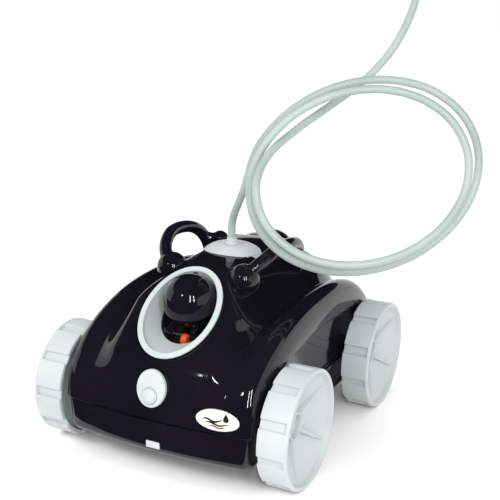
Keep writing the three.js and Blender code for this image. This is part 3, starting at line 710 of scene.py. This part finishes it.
def make_upper_shell():
    shell = shell_block("upper_shell_skin", 210)
    smooth_source = shell.data.copy()
    cavity = shell_block("cavity", 60, keep=3)
    place(cavity, shifted(0, 0, -SEAM_Z), scaled(*CAVITY_SCALE), shifted(0, 0, SEAM_Z - CAVITY_DROP))
    tools = [cavity]
    for end in ENDS:
        tools.append(on_jet_face(hole_of(RIM_HALF, RIM_CLEARANCE, -14, 12), end))
        tools.append(on_button_face(hole_of(BUTTON_HALF, PLATE_CLEARANCE, -12, 8), end))
    tools.append(on_badge_face(hole_of(BADGE_HALF, PLATE_CLEARANCE, -9, 8)))
    for side in SIDES.values():
        tools.append(arch_loft("opening", 189.5, 74.5, [(0, 116), (0, 130)], side))
    tools.append(bar("hole", (0, GLAND_Y, 200), (0, GLAND_Y, 240), 6))
    cut(shell, *tools)
    finished(shell, GLOSS, "upper_shell", smooth_angle=0)
    return keep_normals(shell, smooth_source)


make_upper_shell()


TUB_END = [(SHELL_REACH, 0.3), (203.6, 12), (202, 26), (199.5, 38), (190, 44.6), (172, TUB_DEPTH),
           (0, TUB_DEPTH)]


def tub_block(name, half_width, roll, inset, samples=9):
    """The lower tub: a flat belly, upright ends that lean in slightly, and rolled sides."""
    corner = softened([(reach - inset, min(depth, TUB_DEPTH - inset)) for reach, depth in TUB_END], 12, 6)
    profile = [(-reach, depth) for reach, depth in corner]
    profile += [(reach, depth) for reach, depth in corner[-2::-1]]
    (front, top), (rear, _) = profile[0], profile[-1]
    profile = [(front + 1, top), (front + 0.3, top + 0.3), (front, top + 1), *profile[1:-1],
               (rear, top + 1), (rear - 0.3, top + 0.3), (rear - 1, top)]
    turn = np.linspace(0, pi / 2, samples)
    across = [(half_width - roll + roll * sin(t), roll * (1 - cos(t))) for t in turn]
    flat = [(x, 0.0) for x in np.linspace(0, half_width - roll, 14)[:-1]]
    stations = [(-x, drawn_in) for x, drawn_in in reversed(flat[1:] + across)] + flat + across
    grid = []
    for reach, depth in profile:
        row = []
        for x, drawn_in in stations:
            bow = 1 - BOW * (x / BOW_X) ** 2
            sunk = min(drawn_in, depth) if depth > 2 else 0
            length = max(abs(reach) * bow - drawn_in, 0)
            row.append((x, math.copysign(length, reach), SEAM_Z - max(depth - sunk, 0.3)))
        grid.append(row)
    grid = np.array(grid)
    return new_object(name, grid.reshape(-1, 3), rib_faces(*grid.shape[:2]))


def make_lower_shell():
    tub = tub_block("lower_shell_skin", 119, 11, 0)
    smooth_source = tub.data.copy()
    cavity = tub_block("cavity", 116, 9, 3)
    place(cavity, shifted(0, 0, 1))
    opening = slab("opening", (LID_SIZE[0] - 16, LID_SIZE[1] - 16, 40), (0, 0, BELLY_Z))
    recess = slab("recess", (LID_SIZE[0] + 1, LID_SIZE[1] + 1, 3.4), (0, 0, BELLY_Z), bevel=0.4)
    hole_size = (LATCH_SIZE[0] + 0.8, 30, LATCH_SIZE[2] + 0.8)
    holes = [place(slab("hole", hole_size, LATCH_CENTRE, bevel=0.8), turned(turn, "Z"))
             for turn in ENDS.values()]
    cut(tub, cavity, opening, recess, *holes)
    finished(tub, GLOSS, "lower_shell", smooth_angle=0)
    return keep_normals(tub, smooth_source)


def make_side_panel(name, side):
    """The recessed panel behind each pair of wheels, inside a narrow flange and a groove."""
    section = [(1, 117.6), (0.2, 118.2), (0.2, 122.0), (0.8, 122.6), (3.8, 122.6), (4.3, 122.2),
               (4.3, 120.6), (4.9, 119.4), (5.5, 119.2), (6.2, 119.4), (6.6, 120.6), (7.4, 120.6),
               (7.8, 118.6), (12, 118.2), (30, 118.0), (45, 117.9)]
    panel = arch_loft(f"{name}_panel_skin", 189, 74, section, side)
    finished(panel, GLOSS, f"{name}_side_panel")


def make_bottom_lid():
    plate = slab("bottom_lid_plate", (*LID_SIZE, 3), (0, 0, BELLY_Z - 0.2), bevel=0.6)
    rails = [slab("rail", (150, 4, 5), (0, sign * 68, BELLY_Z - 2.5), bevel=0.8) for sign in (-1, 1)]
    ribs = [slab("rib", (2, 44, 1.6), (x, 0, BELLY_Z - 2.2), bevel=0.5) for x in range(-96, 97, 16)]
    slots = [slab("slot", (120, 14, 10), (0, sign * 40, BELLY_Z), bevel=2) for sign in (-1, 1)]
    screws = [bar("screw", (x, y, BELLY_Z - 3), (x, y, BELLY_Z - 0.6), 3.2)
              for x in (-100, 100) for y in (-62, 62)]
    lid = cut(join(plate, *rails, *ribs), *slots, *screws)
    finished(lid, SATIN, "bottom_lid")


def make_intake_flap(end):
    leaf_z = BELLY_Z + 2.4
    leaf = slab(f"{end}_intake_leaf", (128, 20, 1.2), (0, -40, leaf_z), bevel=0.4)
    barrel = bar("barrel", (-60, -50, leaf_z + 0.3), (60, -50, leaf_z + 0.3), 1.2, bevel=0.3, sides=24)
    ribs = [slab("rib", (1.4, 15, 1.2), (x, -40, leaf_z + 0.9), bevel=0.3) for x in range(-48, 49, 24)]
    flap = place(join(leaf, barrel, *ribs), turned(ENDS[end], "Z"))
    finished(flap, SATIN, f"{end}_intake_flap", f"{end}_intake_body")


# ---------- jet faces ----------
def hinge_bar(name, start, end, radius, sides=48, bevel=0.0):
    """A round bar on the jet flap's hinge line, from one place across to another."""
    ends = [(across, HINGE_T, HINGE_DEPTH) for across in (start, end)]
    return bar(name, *ends, radius, sides=sides, bevel=bevel)


def make_bezel(end):
    section = [(*BEZEL_HALF, 0, 3.2), (48.2, 64.2, 0, 0.4), (*RIM_HALF, 0, 0.4), (*RIM_HALF, 0, -3),
               (*THROAT_HALF, MOUTH_SHIFT, -22), (*THROAT_HALF, MOUTH_SHIFT, MOUTH_DEPTH),
               (*MOUTH_HALF, MOUTH_SHIFT, MOUTH_DEPTH), (*MOUTH_HALF, MOUTH_SHIFT, -20),
               (40.6, 56.6, 0, -2), (41.4, 57.4, 0, 3.4)]
    ring = oval_loft(f"{end}_bezel_ring", section, 128, radius=1.1)
    notch = slab("notch", (6.6, 12, 17.6), (CATCH_X, 56, -8.4), bevel=0.3)
    pip = lathe("pip", [(-0.5, 0.001), (-0.5, 1), (0.4, 0.8), (0.6, 0.001)], 20)
    place(pip, shifted(-7, -60.6, 3.2))
    dots = [pip, place(copied(pip, "pip"), shifted(-28, 21, -0.2))]
    ring = cut(ring, notch)
    finished(on_jet_face(join(ring, *dots), end), GREY, f"{end}_bezel")


def make_catch(end):
    body = slab(f"{end}_catch_hook", (6, 4.4, 13), (CATCH_X, 55.9, -8), bevel=0.7)
    slot = slab("slot", (2.4, 3, 6), (CATCH_X, 54, -3), bevel=0.3)
    finished(on_jet_face(cut(body, slot), end), SATIN, f"{end}_catch")


def make_cup(end):
    section = [(36.2, 44.4, MOUTH_SHIFT, -24.4), (30, 34, 6, -54), (17, 17, 4, -54), (17, 17, 4, -51.5),
               (27.4, 31.4, 6, -51.5), (33.6, 41.6, MOUTH_SHIFT, -24.4)]
    cup = oval_loft(f"{end}_jet_cup", section, 72, radius=1)
    posts = [slab("post", (5, 13, 20), (x, HINGE_T - 2, HINGE_DEPTH - 8), bevel=1) for x in (-POST_X, POST_X)]
    ears = [hinge_bar("ear", x - 2.5, x + 2.5, 5, bevel=0.6) for x in (-POST_X, POST_X)]
    bore = hinge_bar("bore", -30, 30, 1.9, 24)
    finished(on_jet_face(cut(join(cup, *posts, *ears), bore), end), SATIN,
             f"{end}_nozzle_cup")


def dome_profile(radius, rows=30):
    """A ball's outline from the open base to the top, as oval rings on the jet face."""
    lowest = math.asin((DOME_BASE - DOME_CENTRE[1]) / radius)
    shift, middle = DOME_CENTRE
    return [(radius * cos(t), radius * cos(t), shift, middle + radius * sin(t))
            for t in np.linspace(lowest, pi / 2 - 0.012, rows)]


def make_jet_flap(end):
    rings_of_dome = dome_profile(DOME_RADIUS) + dome_profile(DOME_RADIUS - 2.8)[::-1]
    dome = oval_loft(f"{end}_jet_dome", rings_of_dome, 96)
    knuckles = [hinge_bar("knuckle", sign * 11, sign * 18, 4.4, bevel=0.6) for sign in (-1, 1)]
    webs = [slab("web", (7, 17, 5), (x, HINGE_T + 8, HINGE_DEPTH + 5), bevel=0.8) for x in (-14.5, 14.5)]
    bore = hinge_bar("bore", -30, 30, 1.9, 24)
    flap = on_jet_face(cut(join(dome, *knuckles, *webs), bore), end)
    finished(flap, GLOSS, f"{end}_jet_flap", f"{end}_jet_flap_body")


def make_flap_pin(end):
    pin = hinge_bar(f"{end}_hinge_pin", -25, 25, 1.5, 32, 0.3)
    finished(on_jet_face(pin, end), STEEL, f"{end}_flap_pin")


def make_flap_stop(end):
    outline = [(-4, 0.001), (-4, 6.2), (-3.2, 7.2), (3.2, 7.2), (4, 6.2), (4, 0.001)]
    roller = place(lathe(f"{end}_stop_roller", outline, 48, radius=0.7), turned(pi / 2, "Y"),
                   scaled(1, 1, 1.11), shifted(4.5, HINGE_T - 4, HINGE_DEPTH - 3.6))
    bore = hinge_bar("bore", -30, 30, 1.8, 24)
    finished(on_jet_face(cut(roller, bore), end), ORANGE, f"{end}_flap_stop")


# ---------- front and rear face fittings ----------
def make_button(end):
    section = [(0.01, 0.01, 0, -5), (*BUTTON_HALF, 0, -5), (*BUTTON_HALF, 0, 0.2), (15.8, 19.4, 0, 1.4),
               (0.01, 0.01, 0, 1.4)]
    plate = oval_loft(f"{end}_button_oval", section, 96, closed=False, radius=1.2)
    hole = bar("hole", (0, PRESS_DROP, -20), (0, PRESS_DROP, 20), PRESS_RADIUS + 0.3)
    finished(on_button_face(cut(plate, hole), end), GREY, f"{end}_button_plate")
    dome = [(-8, 0.001), (-8, 9.4), (1.2, 9.4)]
    dome += [(1.4 + 5 * sin(t), 9.4 * cos(t) + 0.001) for t in np.linspace(0.1, pi / 2, 12)]
    press = place(lathe(f"{end}_press_button", dome, 64), shifted(0, PRESS_DROP, 0))
    finished(on_button_face(press, end), GREY, f"{end}_release_button", f"{end}_button_body")


def make_latch(end):
    tab = slab(f"{end}_latch_tab", LATCH_SIZE, (0, 2.5, 0), bevel=1.2)
    hook = slab("hook", (10, 5, 4), (0, 8, -2), bevel=0.8)
    latch = place(join(tab, hook), shifted(*LATCH_CENTRE), turned(ENDS[end], "Z"))
    finished(latch, GREY, f"{end}_lid_latch", f"{end}_latch_body")


def flat_shape(name, outline, bottom, top):
    """A flat shape with the given outline, as a thin inlay."""
    rows = [[(x, y, depth) for x, y in outline] for depth in (bottom, top)]
    return rings(name, rows)


def wave_outline(start, width, height, thickness, crests=2.5, samples=40):
    """A ribbon that waves, and tapers at both ends."""
    place_along = np.linspace(0, 1, samples)
    x = start[0] + width * place_along
    middle = start[1] + height * np.sin(crests * pi * place_along)
    half = thickness * np.sin(pi * np.clip(place_along, 0.02, 0.98)) ** 0.6
    return list(zip(x, middle + half)) + list(zip(x[::-1], (middle - half)[::-1]))


def drop_outline(centre, size, samples=40):
    angles = TURN * np.arange(samples) / samples
    taper = 1 - 0.55 * np.sin(angles)
    return [(centre[0] + size * 0.62 * cos(a) * t, centre[1] + size * sin(a) + 0.2 * size)
            for a, t in zip(angles, taper)]


def make_emblem():
    """A plain oval label with a sloped edge, three waves and a drop."""
    section = [(0.01, 0.01, 0, -5), (*BADGE_HALF, 0, -5), (*BADGE_HALF, 0, 0.4), (24.5, 11.0, 0, 0.9),
               (0.01, 0.01, 0, 0.9)]
    plate = oval_loft("emblem_oval", section, 96, closed=False, radius=0.5)
    finished(on_badge_face(plate), IVORY, "emblem_plate")
    shapes = [wave_outline((-18, -0.2), 24, 1.5, 1.4), wave_outline((-16, -4.0), 30, 1.3, 1.1),
              wave_outline((-11, -7.2), 22, 1.0, 0.8), drop_outline((10, 3.4), 4.8)]
    first, *rest = [flat_shape("emblem_print", outline, 0.7, 1.05) for outline in shapes]
    for part in rest:
        join(first, part)
    finished(on_badge_face(first), INK, smooth_angle=20)


# ---------- handles ----------
HANDLE_ARCH = [(49, -71, 214), (57, -69, 224), (65, -59, 233), (72, -38, 242), (75, -12, 243.5),
               (74, 12, 240.5), (72, 28, 235), (69, 41, 226), (65, 49, 213), (61, 54, 192)]
HANDLE_BALLS = (((48.5, -70.6, 212.5), 18.8), ((48, 54, 217), 11.5))
HANDLE_LINK = ((67, 45, 219), 7.5)
HANDLE_RADIUS = 8


def curve_points(controls, per_span=12):
    """Centripetal Catmull-Rom points through the controls."""
    controls = [Vector(point) for point in controls]
    handles = smooth_handles(controls)
    points = []
    for number in range(len(controls) - 1):
        a, d = controls[number], controls[number + 1]
        b, c = handles[number][1], handles[number + 1][0]
        for step in range(per_span):
            t = step / per_span
            points.append(a * (1 - t) ** 3 + b * 3 * t * (1 - t) ** 2 + c * 3 * t * t * (1 - t) + d * t ** 3)
    points.append(controls[-1])
    return points


def tube(name, points, radius, sides=32):
    """A tube along the points, with its section kept from twisting."""
    rows = []
    side = Vector((1, 0, 0))
    for number, point in enumerate(points):
        ahead = points[min(number + 1, len(points) - 1)] - points[max(number - 1, 0)]
        ahead.normalize()
        side = (side - ahead * side.dot(ahead)).normalized()
        up = ahead.cross(side)
        rows.append([point + side * radius * cos(a) + up * radius * sin(a)
                     for a in TURN * np.arange(sides) / sides])
    return rings(name, rows)


def make_handle(name, side, blank):
    """A loop with a ball at its front foot and a knob by its rear leg, melted into one on the shell."""
    points = curve_points([(side * x, y, z) for x, y, z in HANDLE_ARCH])
    loop = tube(f"{name}_handle_loop", points, HANDLE_RADIUS)
    feet = []
    for (x, y, z), radius in HANDLE_BALLS:
        turns = np.linspace(-pi / 2, pi / 2, 40)
        ball = lathe("ball", [(radius * sin(t), radius * cos(t) + 0.001) for t in turns], 48)
        feet.append(place(ball, shifted(side * x, y, z)))
    x, y, z = HANDLE_BALLS[1][0]
    (link_x, link_y, link_z), link_radius = HANDLE_LINK
    feet.append(bar("link", (side * x, y, z), (side * link_x, link_y, link_z), link_radius))
    join(loop, *feet)
    step = loop.modifiers.new("melt", "REMESH")
    step.mode = "VOXEL"
    step.voxel_size = 1.1 * MM
    step = loop.modifiers.new("smooth", "SMOOTH")
    step.factor = 0.6
    step.iterations = 9
    applied(loop)
    smooth_source = loop.data.copy()
    cut(loop, copied(blank, "blank"))
    finished(loop, GLOSS, f"{name}_handle", smooth_angle=0)
    keep_normals(loop, smooth_source)


# ---------- cable entry on the deck ----------
CAP_GROOVE = (0.36, 0.46)
CAP_GROOVE_DEPTH = 0.022
CAP_SIDES = 112


def make_cable_cap(blank):
    """Half an ellipsoid with a thin groove round its rim, seated on the shell."""
    rows = []
    angles = TURN * np.arange(CAP_SIDES) / CAP_SIDES
    for t in np.linspace(0, pi / 2 - 0.02, 60):
        reach = cos(t) - (CAP_GROOVE_DEPTH if CAP_GROOVE[0] < t < CAP_GROOVE[1] else 0)
        height = CAP_TOP_Z - CAP_HEIGHT * (1 - sin(t))
        oval = [CAP_HALF[0] * reach * np.cos(angles), CAP_HALF[1] * reach * np.sin(angles)]
        rows.append(np.column_stack([*oval, np.full(CAP_SIDES, height)]))
    dome = place(rings("cable_cap_dome", rows), shifted(*CAP_SHIFT))
    smooth_source = dome.data.copy()
    seat = bar("seat", (0, GLAND_Y, CAP_TOP_Z - 2), (0, GLAND_Y, CAP_TOP_Z + 5), 9)
    holes = [bar("hole", (x, y, CAP_TOP_Z - 12), (x, y, CAP_TOP_Z + 9), 3.3) for x, y in CAP_SCREWS]
    cut(dome, copied(blank, "blank"), seat, *holes)
    finished(dome, GREY, "cable_cap", smooth_angle=0)
    keep_normals(dome, smooth_source)


def make_cap_screws():
    for name, (x, y) in zip(SIDES, CAP_SCREWS):
        outline = [(-7, 0.001), (-7, 3), (-0.9, 3), (-0.2, 2.4), (0.2, 0.001)]
        screw = place(lathe(f"{name}_cap_rivet", outline, 32, radius=0.3), shifted(x, y, CAP_TOP_Z - 2.6))
        finished(screw, GREY, f"{name}_cap_screw")


def make_gland():
    outline = [(0.1, 0.001), (0.1, 8.6), (1.6, 8.6), (2.4, 7.6), (3.4, 6.9), (4.2, 6.4), (9.5, 5.6),
               (9.7, 0.001)]
    gland = place(lathe("cable_collar", outline, 64, radius=0.6), shifted(0, GLAND_Y, CAP_TOP_Z - 1.7))
    finished(gland, GREY, "cable_gland")


# ---------- wheels ----------
# Each rib station is (distance from the axle, half width, outer face, inner face).
RIB_STATIONS = [(15.6, 2.9, -17.6, -26.5), (17, 2.8, -17.4, -26), (30, 2.3, -13.8, -21),
                (45, 1.8, -9.6, -15), (56, 1.4, -6.6, -10.5), (60, 1.2, -5.8, -8.5)]
LUG_PHASES = {"right_front": 54, "right_rear": 56, "left_front": 45, "left_rear": 49}


def lug_steps():
    """(share of a lug's turn, depth below the pad) round one lug: a sharp step down, an easy step up."""
    pad = [(t, 0.0) for t in (0.02, 0.1, 0.2, 0.3, 0.4, 0.5, 0.6, 0.68, 0.708)]
    groove = [(0.716, 0.12), (0.722, 0.5), (0.726, 2.3), (0.732, 3.2), (0.8, 3.2), (0.88, 3.2), (0.955, 3.2),
              (0.968, 2.9), (0.985, 0.6), (0.993, 0.15)]
    return pad + groove


def make_rim(name, phase):
    outer = WHEEL_RADIUS
    section = [(0, outer - 4.6, 0), (0, outer - 1.2, 0), (1.2, outer, 0), (4.1, outer, 0), (4.5, outer, 1),
               (WHEEL_WIDTH - 1, outer, 1), (WHEEL_WIDTH, outer - 1, 1), (WHEEL_WIDTH, outer - 6, 0),
               (24, outer - 7, 0), (28.5, 15.5, 0), (24.5, 17, 0), (11.5, 50, 0), (5.5, 62, 0),
               (1.6, 64.4, 0)]
    section = softened(section, 0.9, 3, closed=True)
    rows = []
    for lug in range(LUG_COUNT):
        for share, depth in lug_steps():
            angle = TURN * (lug + share) / LUG_COUNT + phase
            rows.append([(-inward, (radius - on_lug * depth) * cos(angle),
                          (radius - on_lug * depth) * sin(angle)) for inward, radius, on_lug in section])
    return rings(name, rows, closed_rows=True)


def make_rib(angle):
    """A rib that stands tall at the hub and thins out into the dish."""
    rows = []
    for reach, half, top, bottom in RIB_STATIONS:
        soft = min(0.9, half * 0.6)
        rows.append([(bottom, reach, -half - 0.5), (top - soft, reach, -half),
                     (top - soft * 0.3, reach, -half + soft * 0.3), (top, reach, -half + soft),
                     (top, reach, half - soft), (top - soft * 0.3, reach, half - soft * 0.3),
                     (top - soft, reach, half), (bottom, reach, half + 0.5)])
    return place(rings("rib", rows), turned(angle, "X"))


def make_hub():
    outline = [(-WHEEL_WIDTH, 4.4), (-WHEEL_WIDTH, 16.6), (HUB_FRONT - 0.9, 17.2), (HUB_FRONT, 16.6),
               (HUB_FRONT, 14.8), (HUB_FRONT - 0.6, 14.1), (HUB_FLOOR, 14), (HUB_FLOOR, 4.4)]
    hub = lathe("hub", outline, 72, closed=True, radius=0.5)
    return place(hub, turned(pi / 2, "Y"))


def make_wheel(side, end):
    corner = f"{end}_{side}"
    sign = SIDES[side]
    rim = make_rim(f"{corner}_tyre", math.radians(LUG_PHASES[f"{side}_{end}"]))
    ribs = [make_rib(TURN * rib / RIB_COUNT + RIB_PHASE) for rib in range(RIB_COUNT)]
    wheel = join(rim, make_hub(), *ribs)
    disc = [(0.3, 0.001), (0.3, 13.4), (2.8, 13.4), (3.1, 12.9), (3.1, 0.001)]
    disc = [(HUB_FLOOR + height, far) for height, far in disc]
    cap = place(lathe(f"{corner}_hub_disc", disc, 64, radius=0.3), turned(pi / 2, "Y"))
    housing = [(-44.1, 0.001), (-44.1, 22), (-41, 21.6), (-37.3, 17.4), (-37.1, 16.6), (-37.1, 0.001)]
    boss = place(lathe(f"{corner}_axle_boss", housing, 64, radius=0.6), turned(pi / 2, "Y"))
    cut(boss, bar("bore", (-43, 0, 0), (0, 0, 0), 4.3))
    for piece, body, material, slot, node in (
            (wheel, f"{corner}_wheel_body", GREY, "light_grey", f"{corner}_wheel"),
            (cap, f"{corner}_wheel_body", GREY, "light_grey", f"{corner}_hub_cap"),
            (boss, "chassis", SATIN, "satin_black", f"{corner}_axle_housing")):
        place(piece, turned(0 if sign > 0 else pi, "Z"),
              shifted(sign * WHEEL_OUTER_X, (1 if ENDS[end] else -1) * AXLE_Y, WHEEL_RADIUS))
        finished(piece, material, node, body, smooth_angle=28)


# ---------- filter bag and the plain inner parts ----------
BAG_FACES = [(0, 85), (180, 85), (90, 49), (270, 49)]
BAG_Z = 64


def make_filter_bag():
    """A flat cushion of gauze with twelve shallow folds round it."""
    rows = []
    angles = TURN * np.arange(120) / 120
    for t in np.linspace(-pi / 2 + 0.05, pi / 2 - 0.05, 28):
        ring = []
        for angle in angles:
            reach = rounded_polygon(np.array([angle]), BAG_FACES, 7)[0]
            reach *= cos(t) ** 0.35
            fold = 0.5 * sin(12 * angle) * cos(t)
            height = BAG_Z + (6.3 + 0.5 * fold) * sin(t)
            ring.append((reach * cos(angle), reach * sin(angle), height))
        rows.append(ring)
    bag = finished(rings("gauze_bag", rows), GAUZE, "filter_bag")


def finish_inner_parts():
    kept = {"pump_motor": SATIN, "jet_duct": SATIN, "filter_frame": SATIN, "motor_shaft": STEEL,
            "impeller": GREY}
    kept.update({f"{end}_{side}_axle": STEEL for end in ENDS for side in SIDES})
    for name, material in kept.items():
        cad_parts[name].data.materials.clear()
        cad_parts[name].data.materials.append(material)


END_PIECES = (make_intake_flap, make_bezel, make_catch, make_cup, make_jet_flap, make_flap_pin,
              make_flap_stop, make_button, make_latch)


def build_cleaner():
    make_lower_shell()
    make_bottom_lid()
    for name, side in SIDES.items():
        make_side_panel(name, side)
    blank = shell_block("blank", 120)
    place(blank, shifted(0, 0, 0.3))
    for name, side in SIDES.items():
        make_handle(name, side, blank)
    make_cable_cap(blank)
    bpy.data.objects.remove(blank)
    make_cap_screws()
    make_gland()
    make_emblem()
    for end in ENDS:
        for make in END_PIECES:
            make(end)
        for side in SIDES:
            make_wheel(side, end)
    make_filter_bag()
    finish_inner_parts()


build_cleaner()


# ---------- studio ----------
def plain_material(name, colour, roughness=0.9):
    material, _, shader = shader_of(name)
    shader.inputs["Base Color"].default_value = (*colour, 1)
    shader.inputs["Roughness"].default_value = roughness
    shader.inputs["Specular IOR Level"].default_value = 0.0
    return material


def sheet_of(name, half, near, far, material):
    """A rectangle from -half to half across, between two (y, z) edges."""
    corners = [(-half, *near), (half, *near), (half, *far), (-half, *far)]
    mesh = bpy.data.meshes.new(name)
    mesh.from_pydata(corners, [], [(0, 1, 2, 3)])
    mesh.materials.append(material)
    sheet = linked(name, mesh)
    return sheet


def dark_card(name, near, far):
    """A black card that only the object's reflections see."""
    card = sheet_of(name, CARD_HALF, near, far, CARD)
    card.visible_camera = False
    card.visible_diffuse = False
    card.visible_shadow = False
    card.visible_transmission = False
    return card


def lamp(name, place_at, aim, width, height, energy, glossy=True):
    data = bpy.data.lights.new(name, "AREA")
    data.shape = "RECTANGLE"
    data.size = width
    data.size_y = height
    data.energy = energy
    light = linked(name, data)
    light.location = place_at
    light.rotation_mode = "QUATERNION"
    light.rotation_quaternion = (Vector(aim) - Vector(place_at)).to_track_quat("-Z", "Y")
    light.visible_glossy = glossy
    light.visible_camera = False


CARD = plain_material("card_black", (0.004, 0.004, 0.005))
FLOOR = plain_material("floor_white", (0.94, 0.94, 0.94))
FLOOR_HALF = 60
CARD_HALF = 3
CARD_FRONT = -1.9
CARD_BACK = 2.6
CARD_LOW = 0.002
CARD_HIGH = 1.9


def make_studio():
    """A white floor and sky, dark cards and strip lamps for the gloss to mirror, and a soft key light."""
    sheet_of("floor", FLOOR_HALF, (-FLOOR_HALF, 0), (FLOOR_HALF, 0), FLOOR)
    dark_card("front_card", (CARD_FRONT, CARD_LOW), (CARD_FRONT, 3))
    dark_card("floor_card", (CARD_FRONT, CARD_LOW), (-0.225, CARD_LOW))
    dark_card("top_card", (CARD_FRONT, CARD_HIGH), (CARD_BACK, CARD_HIGH))
    dark_card("back_card", (CARD_BACK, 0.8), (CARD_BACK, 1.95))
    world = bpy.data.worlds.new("studio")
    bpy.context.scene.world = world
    world.use_nodes = True
    sky = world.node_tree.nodes["Background"]
    sky.inputs["Color"].default_value = (1, 1, 1, 1)
    sky.inputs["Strength"].default_value = 1.08
    lamp("key", (-1.2, -1.6, 1.6), (0, 0, 0.1), 0.8, 0.8, 22, glossy=False)
    lamp("strip_left", (0.75, -1.5, 0.95), (0, 0, 0.15), 0.035, 0.8, 9)
    lamp("strip_right", (1.15, -1.25, 0.95), (0, 0, 0.15), 0.035, 0.8, 9)
    lamp("strip_high", (-0.35, -1.65, 1.3), (0, 0, 0.15), 0.12, 0.16, 2.5)
    bpy.context.scene.view_settings.view_transform = "Standard"


make_studio()
bpy.context.view_layer.update()
